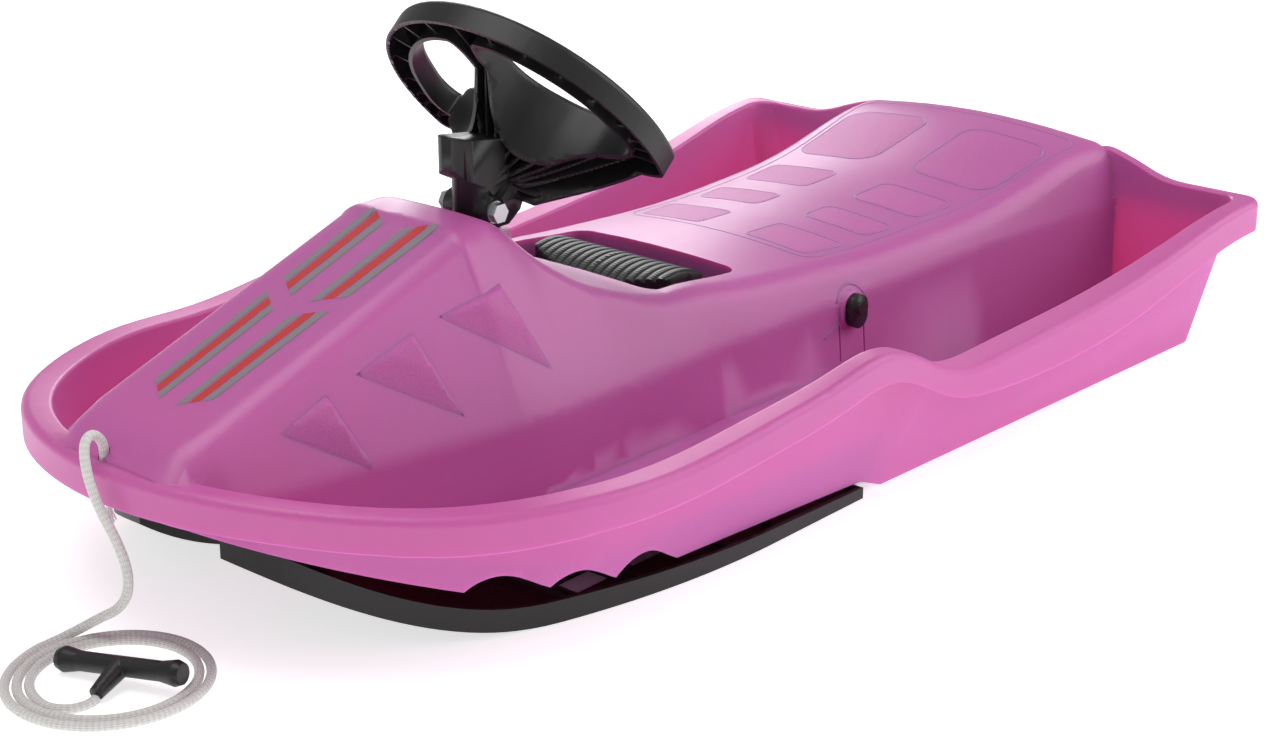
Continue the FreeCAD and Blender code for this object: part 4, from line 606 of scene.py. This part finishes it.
def frayed_end(place):
    """Plain mesh of the strands that the node group gives."""
    carrier = bpy.data.objects.new("fray_carrier", bpy.data.meshes.new("fray_carrier"))
    bpy.context.scene.collection.objects.link(carrier)
    modifier = carrier.modifiers.new("strands", "NODES")
    modifier.node_group = strand_nodes()
    values = {"Place": place, "Strands": FRAY_STRANDS, "Length": FRAY_LENGTH_MM * MM, "Thickness": FRAY_STRAND_MM * MM,
              "Lean": math.radians(FRAY_LEAN_DEG), "Material": ROPE}
    for item in modifier.node_group.interface.items_tree:
        if item.in_out == "INPUT":
            modifier[item.identifier] = values[item.name]
    bpy.context.view_layer.update()
    evaluated = carrier.evaluated_get(bpy.context.evaluated_depsgraph_get())
    strands = bpy.data.objects.new("rope_fray", bpy.data.meshes.new_from_object(evaluated))
    bpy.context.scene.collection.objects.link(strands)
    bpy.data.objects.remove(carrier)
    return strands


fray = frayed_end(Vector(KNOT_PLACE_MM) * MM - Vector((0, 0, FRAY_BELOW_MM * MM)))
print("fray faces", len(fray.data.polygons))

# %% [markdown]
# Knot, stub and fray are one piece of rope, so they are joined into one.

with bpy.context.temp_override(active_object=knot, selected_editable_objects=[knot, stub, fray]):
    bpy.ops.object.join()
knot.name = "rope_knot_frayed"
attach(knot, "hull")
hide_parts("rope_knot")
print("knot faces", len(knot.data.polygons))

# %% [markdown]
# ## Patches that lie on the skin
#
# Grained patches and printed stripes follow the hull's own surface. A Shrinkwrap modifier could lay them on, but with
# one offset for the whole piece, and a patch's edge lies lower than its middle. Here each patch starts as a flat
# outline, is cut into a grid, and every grid point is dropped onto the hull along one direction. A small lift keeps
# it from fighting with the skin underneath.

# %% The hull as a target for rays
hull_mesh = bmesh.new()
hull_mesh.from_mesh(hull.data)
hull_tree = BVHTree.FromBMesh(hull_mesh)
hull_mesh.free()
DOWN = Vector((0, 0, -1))
RAY_TOP = 0.4
SEAT_PROBE_MM = -300


def from_above(x, y):
    """Place above a point of the plan, in metres."""
    return Vector((x * MM, y * MM, RAY_TOP))


seat, _, _, _ = hull_tree.ray_cast(from_above(SEAT_PROBE_MM, 0), DOWN)
print("seat height", round(seat.z, 3), "m")


# %% [markdown]
# Dropping is a ray cast: a ray starts above or beside the hull and stops at the first face that it meets. A point in
# the middle of a patch is lifted more than one on its rim, so the patch ends in a soft edge.


# %% Drape an outline
def drape(name, outline_mm, origin, drop, lift_mm, material, edge_mm=0.0, cell_mm=6.0, cuts=()):
    """Lay a flat outline on the hull. origin turns a 2-D point in mm into a start in metres, drop is the way down.

    lift_mm is a number, or a function of the 2-D point; cuts are lines, each a point and a normal.
    """
    bm = bmesh.new()
    corners = [bm.verts.new((p.x, p.y, 0.0)) for p in outline_mm]
    bm.faces.new(corners)
    lows = [min(v.co[i] for v in bm.verts) for i in (0, 1)]
    highs = [max(v.co[i] for v in bm.verts) for i in (0, 1)]
    lines = []
    for axis, normal in enumerate((Vector((1, 0)), Vector((0, 1)))):
        rows = int((highs[axis] - lows[axis]) / cell_mm)
        for k in range(1, rows + 1):
            lines.append((normal * (lows[axis] + (highs[axis] - lows[axis]) * k / (rows + 1)), normal))
    for place, normal in [*lines, *cuts]:
        bmesh.ops.bisect_plane(bm, geom=bm.verts[:] + bm.edges[:] + bm.faces[:], plane_co=place.to_3d(),
                               plane_no=normal.to_3d())
    bmesh.ops.triangulate(bm, faces=bm.faces)
    rims = {v for e in bm.edges if e.is_boundary for v in e.verts}
    for v in bm.verts:
        hit, normal, _, _ = hull_tree.ray_cast(origin(v.co.x, v.co.y), drop)
        if hit is None:
            raise ValueError(f"{name} misses the hull at {v.co}")
        if normal.dot(drop) > 0:
            normal = -normal
        rise = lift_mm(v.co.xy) if callable(lift_mm) else lift_mm
        v.co = hit + normal * ((edge_mm if v in rims else rise) * MM)
    bmesh.ops.recalc_face_normals(bm, faces=bm.faces)
    if next(iter(bm.faces)).normal.dot(drop) > 0:
        bmesh.ops.reverse_faces(bm, faces=bm.faces)
    for face in bm.faces:
        face.smooth = True
    mesh = bpy.data.meshes.new(name)
    bm.to_mesh(mesh)
    bm.free()
    mesh.materials.append(material)
    piece = bpy.data.objects.new(name, mesh)
    bpy.context.scene.collection.objects.link(piece)
    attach(piece, "hull")


# %% [markdown]
# Fine raised lines edge the patches and the seat. A bump is too weak for a line that catches light on one side, so
# each line is a thin bar along the surface, sunk until only its crest stands out.

# %% Raised lines
BEAD_SINK = 0.3  # share of its width
BEAD_SIDES = 8
BEAD_STEP_MM = 3.0


def bead(name, outline_mm, origin, drop, width_mm, closed=True):
    """Raised moulded line on the hull: a thin round bar with only its crest above the skin."""
    corners = [Vector(p) for p in outline_mm]
    if closed:
        corners.append(corners[0])
    route = []
    for a, b in zip(corners[:-1], corners[1:]):
        count = max(1, int((b - a).length / BEAD_STEP_MM))
        for k in range(count):
            route.append(a.lerp(b, k / count))
    route.append(corners[-1])
    places = []
    for flat in route:
        hit, _, _, _ = hull_tree.ray_cast(origin(flat.x, flat.y), drop)
        if hit is None:
            raise ValueError(f"{name} misses the hull at {flat}")
        places.append(hit + drop * (BEAD_SINK * width_mm * MM))
    piece, _ = tube_mesh(name, places, width_mm * MM, BEAD_SIDES, PINK)
    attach(piece, "hull")


# %% [markdown]
# The seat has two columns of grained patches against slipping, inside a fine raised border line. Both columns come
# from one list of rows, mirrored, so the sides can't drift apart.

# %% Seat patches and border
SIDES = ((1, "left"), (-1, "right"))
SEAT_ROWS_MM = [(-112, -158), (-188, -224), (-254, -304), (-338, -440)]
SEAT_INNER_MM = [24, 24, 24, 20]
SEAT_OUTER_MM = [84, 86, 90, 100]
PATCH_ROUND_MM = [6, 8, 10, 20]
PATCH_SLANT_MM = 5
PATCH_LIFT_MM = 0.2
PATCH_EDGE_MM = 0.05
EDGE_LINE_MM = 1.8
BORDER_MM = [(-104, -94), (-104, 94), (-240, 98), (-400, 108), (-470, 114), (-470, -114), (-400, -108), (-240, -98)]
BORDER_ROUND_MM = 16
CORNER_SHARE = 0.45  # a round takes at most this share of a side


def rounded_polygon(corners, radius, steps=6):
    """Flat outline with round corners, as 2-D points."""
    outline = []
    count = len(corners)
    for i in range(count):
        p = Vector(corners[i])
        a = Vector(corners[i - 1]) - p
        b = Vector(corners[(i + 1) % count]) - p
        half = a.angle(b) / 2
        reach = min(radius / math.tan(half), CORNER_SHARE * min(a.length, b.length))
        bend = reach * math.tan(half)
        a.normalize()
        b.normalize()
        middle = p + (a + b).normalized() * (bend / math.sin(half))
        start = (p + a * reach) - middle
        end = (p + b * reach) - middle
        turn = start.angle_signed(end)
        for k in range(steps + 1):
            angle = -turn * k / steps
            c, s = math.cos(angle), math.sin(angle)
            outline.append(middle + Vector((start.x * c - start.y * s, start.x * s + start.y * c)))
    return outline


for row, (x0, x1) in enumerate(SEAT_ROWS_MM):
    for side, word in SIDES:
        inner, outer = side * SEAT_INNER_MM[row], side * SEAT_OUTER_MM[row]
        corners = [(x0, inner), (x0, outer), (x1, outer + PATCH_SLANT_MM * side), (x1, inner)]
        outline = rounded_polygon(corners, PATCH_ROUND_MM[row])
        name = f"seat_patch_{word}_{row + 1}"
        drape(name, outline, from_above, DOWN, PATCH_LIFT_MM, PINK_GRAIN, edge_mm=PATCH_EDGE_MM)
        bead(name + "_edge", outline, from_above, DOWN, EDGE_LINE_MM)
bead("seat_border", rounded_polygon(BORDER_MM, BORDER_ROUND_MM), from_above, DOWN, EDGE_LINE_MM)
print("seat patches", 2 * len(SEAT_ROWS_MM))

# %% [markdown]
# Three grained wedges stand on each flank of the bonnet. Each is a triangle that rises from its lower edge, with a
# bevel along its two upper edges that catches the light. They are laid on from the side, by rays that start in the
# foot well and run towards the middle of the sled, because rays from above would graze the steep flank.

# %% Flank wedges
FLANK_MM = [
    [(372, 152), (412, 137), (357, 102)],
    [(297, 175), (347, 159), (282, 119)],
    [(218, 190), (274, 180), (200, 130)],
]
RAY_SIDE_MM = 140
WEDGE_RISE_MM = 2.6
WEDGE_SLOPE = 2.0  # the full rise is reached half-way up
WEDGE_BEVELS_MM = (3.4, 2.2)
WEDGE_CELL_MM = 4.0


def beside(side):
    """Gives the function that turns x and z in mm into the start, in metres, of a ray from one side."""
    return lambda x, z: Vector((x, side * RAY_SIDE_MM, z)) * MM


def facing(start, end, third):
    """Unit normal of a triangle's edge, on the side of its third corner."""
    along = (end - start).normalized()
    normal = Vector((-along.y, along.x))
    return -normal if normal.dot(third - start) < 0 else normal


def wedge(name, apex, front, lower, origin, drop):
    """Triangle whose lift grows from the lower edge to the bevels along the two upper edges."""
    slopes = list(zip((facing(apex, front, lower), facing(apex, lower, front)), WEDGE_BEVELS_MM))
    up = facing(front, lower, apex)
    height = up.dot(apex - front)

    def rise(point):
        bevels = [inside.dot(point - apex) / bevel for inside, bevel in slopes]
        return WEDGE_RISE_MM * min(1.0, WEDGE_SLOPE * up.dot(point - front) / height, *bevels)

    cuts = [(apex + inside * bevel, inside) for inside, bevel in slopes]
    drape(name, [apex, front, lower], origin, drop, rise, PINK_GRAIN, cell_mm=WEDGE_CELL_MM, cuts=cuts)


for side, word in SIDES:
    for number, corners in enumerate(FLANK_MM, 1):
        apex, front, lower = (Vector(c) for c in corners)
        wedge(f"flank_wedge_{word}_{number}", apex, front, lower, beside(side), Vector((0, -side, 0)))
print("flank wedges", 2 * len(FLANK_MM))

# %% [markdown]
# A thin ring is moulded over each brake pivot, with a short fin in front of it. Both are raised lines like the seat's
# border, laid on from the side.

# %% Rings and fins at the brake pivots
PIVOT_MM = (-121, 95)
RING_RADIUS_MM = 19
RING_START_DEG, RING_END_DEG = 25, 155
RING_STEPS = 10
FIN_MM = [(-106, 88), (-86, 79)]
FIN_LINE_MM = 2.2

ring = []
for k in range(RING_STEPS + 1):
    angle = math.radians(RING_START_DEG + (RING_END_DEG - RING_START_DEG) * k / RING_STEPS)
    ring.append(Vector(PIVOT_MM) + Vector((math.cos(angle), math.sin(angle))) * RING_RADIUS_MM)
for side, word in SIDES:
    for label, line in (("ring", ring), ("fin", FIN_MM)):
        bead(f"pivot_{label}_{word}", line, beside(side), Vector((0, -side, 0)), FIN_LINE_MM, closed=False)
print("ring points", len(ring))

# %% [markdown]
# Printed stripes dress the bonnet: a pair of bands, each grey, red and grey, that narrow towards the nose and are
# cut by a slanted gap. They could be one sheet with a striped material, but separate strips keep their edges crisp.

# %% Bonnet stripes
STRIPE_RUNS_MM = [(250, 336), (352, 450)]
STRIPE_BANDS_MM = [(8.0, 13.5, PRINT_GREY, "grey_inner"), (15.0, 21.0, PRINT_RED, "red"),
                   (22.5, 28.0, PRINT_GREY, "grey_outer")]
STRIPE_SLANT = 0.7
STRIPE_WIDEST = 1.2  # factor on the bands at the first run's start
STRIPE_NARROW = 0.2  # how much of that factor goes by the last run's end
STRIPE_LIFT_MM = 0.12


def stripe_y(y, x):
    """Bands narrow evenly from the first run's start to the nose."""
    start, end = STRIPE_RUNS_MM[0][0], STRIPE_RUNS_MM[-1][1]
    return y * (STRIPE_WIDEST - STRIPE_NARROW * (x - start) / (end - start))


for run, (x0, x1) in enumerate(STRIPE_RUNS_MM, 1):
    for side, word in SIDES:
        for near, far, material, colour in STRIPE_BANDS_MM:
            corners = []
            for x, y in ((x0, near), (x1, near), (x1, far), (x0, far)):
                place = x - STRIPE_SLANT * y
                corners.append(Vector((place, side * stripe_y(y, place))))
            name = f"stripe_{word}_{run}_{colour}"
            drape(name, corners, from_above, DOWN, STRIPE_LIFT_MM, material, edge_mm=STRIPE_LIFT_MM)
print("stripes", 2 * len(STRIPE_RUNS_MM) * len(STRIPE_BANDS_MM))

# %% [markdown]
# ## Table
#
# The sled stands on a lit white table, so there is hardly a shadow. A plain white floor would come out grey, so this
# one also glows. Under the sled the glow stops: a real table gets no light there, and a glowing one would shine out
# through the notches of the skirt. The dark patch is a rectangle with round corners, made from two fourth powers.

# %% A glowing table
FLOOR_REACH = 12.0
TABLE_GLOW = 0.66
DARK_MIDDLE = -0.06
DARK_LENGTH = 0.79
DARK_WIDTH = 0.41
DARK_FADE = (0.93, 1.0)

floor_mesh = bpy.data.meshes.new("studio_floor")
floor_corners = [(-FLOOR_REACH, -FLOOR_REACH, 0), (FLOOR_REACH, -FLOOR_REACH, 0), (FLOOR_REACH, FLOOR_REACH, 0),
                 (-FLOOR_REACH, FLOOR_REACH, 0)]
floor_mesh.from_pydata(floor_corners, [], [(0, 1, 2, 3)])
floor = bpy.data.objects.new("studio_floor", floor_mesh)
floor_material, floor_tree, floor_shader = new_material("studio_table", "#F4F4F4", roughness=0.9)
floor_shader.inputs["Emission Color"].default_value = (1, 1, 1, 1)
floor_place = add(floor_tree, "ShaderNodeTexCoord").outputs["Object"]
offset = add(floor_tree, "ShaderNodeVectorMath", [(0, floor_place)], operation="SUBTRACT",
             in_1=(DARK_MIDDLE, 0.0, 0.0))
share = add(floor_tree, "ShaderNodeVectorMath", [(0, offset.outputs[0])], operation="DIVIDE",
            in_1=(DARK_LENGTH / 2, DARK_WIDTH / 2, 1.0))
square = add(floor_tree, "ShaderNodeVectorMath", [(0, share.outputs[0]), (1, share.outputs[0])],
             operation="MULTIPLY")
reach = add(floor_tree, "ShaderNodeVectorMath", [(0, square.outputs[0])], operation="LENGTH")
add(floor_tree, "ShaderNodeMapRange", [(0, reach.outputs["Value"])], floor_shader.inputs["Emission Strength"],
    in_1=DARK_FADE[0], in_2=DARK_FADE[1], in_4=TABLE_GLOW)
floor_mesh.materials.append(floor_material)
bpy.context.scene.collection.objects.link(floor)
print("table glow", TABLE_GLOW)

# %% [markdown]
# ## Light
#
# Broad soft boxes give a plastic moulding long, soft highlights, where bare lamps would give hard dots. A large one
# stands behind on the driver's left and lights that side at a slant. A smaller one behind the tail, on the right,
# makes the bright patch on the seat, a weak one lifts the nose, and one hangs above, a little ahead of the nose. A dim
# white room fills in.

# %% Room and soft boxes
ROOM_LIGHT = 0.34
SOFT_BOXES = {  # place and aim in metres, side in metres, watts
    "box_left_side": ((-2.0, 1.9, 1.75), (-0.2, 0, 0.1), 2.6, 40),
    "box_over_tail": ((-1.55, -1.7, 1.0), (-0.1, 0, 0.1), 1.0, 15),
    "box_nose": ((2.2, -0.6, 1.3), (0.2, 0, 0.1), 1.2, 2),
    "box_above": ((0.6, -0.2, 2.3), (0.2, 0, 0.1), 1.6, 20),
}

world = bpy.data.worlds.new("studio_room")
world.use_nodes = True
world.node_tree.nodes["Background"].inputs["Color"].default_value = (1, 1, 1, 1)
world.node_tree.nodes["Background"].inputs["Strength"].default_value = ROOM_LIGHT
bpy.context.scene.world = world


def soft_box(name, place, target, size, watts):
    """Square area light aimed at a point."""
    data = bpy.data.lights.new(name, "AREA")
    data.size = size
    data.energy = watts
    light = bpy.data.objects.new(name, data)
    light.location = place
    light.rotation_euler = (Vector(target) - Vector(place)).to_track_quat("-Z", "Y").to_euler()
    bpy.context.scene.collection.objects.link(light)


for name, values in SOFT_BOXES.items():
    soft_box(name, *values)
bpy.context.scene.view_settings.view_transform = "Standard"
print("room", ROOM_LIGHT, "soft boxes", len(SOFT_BOXES))
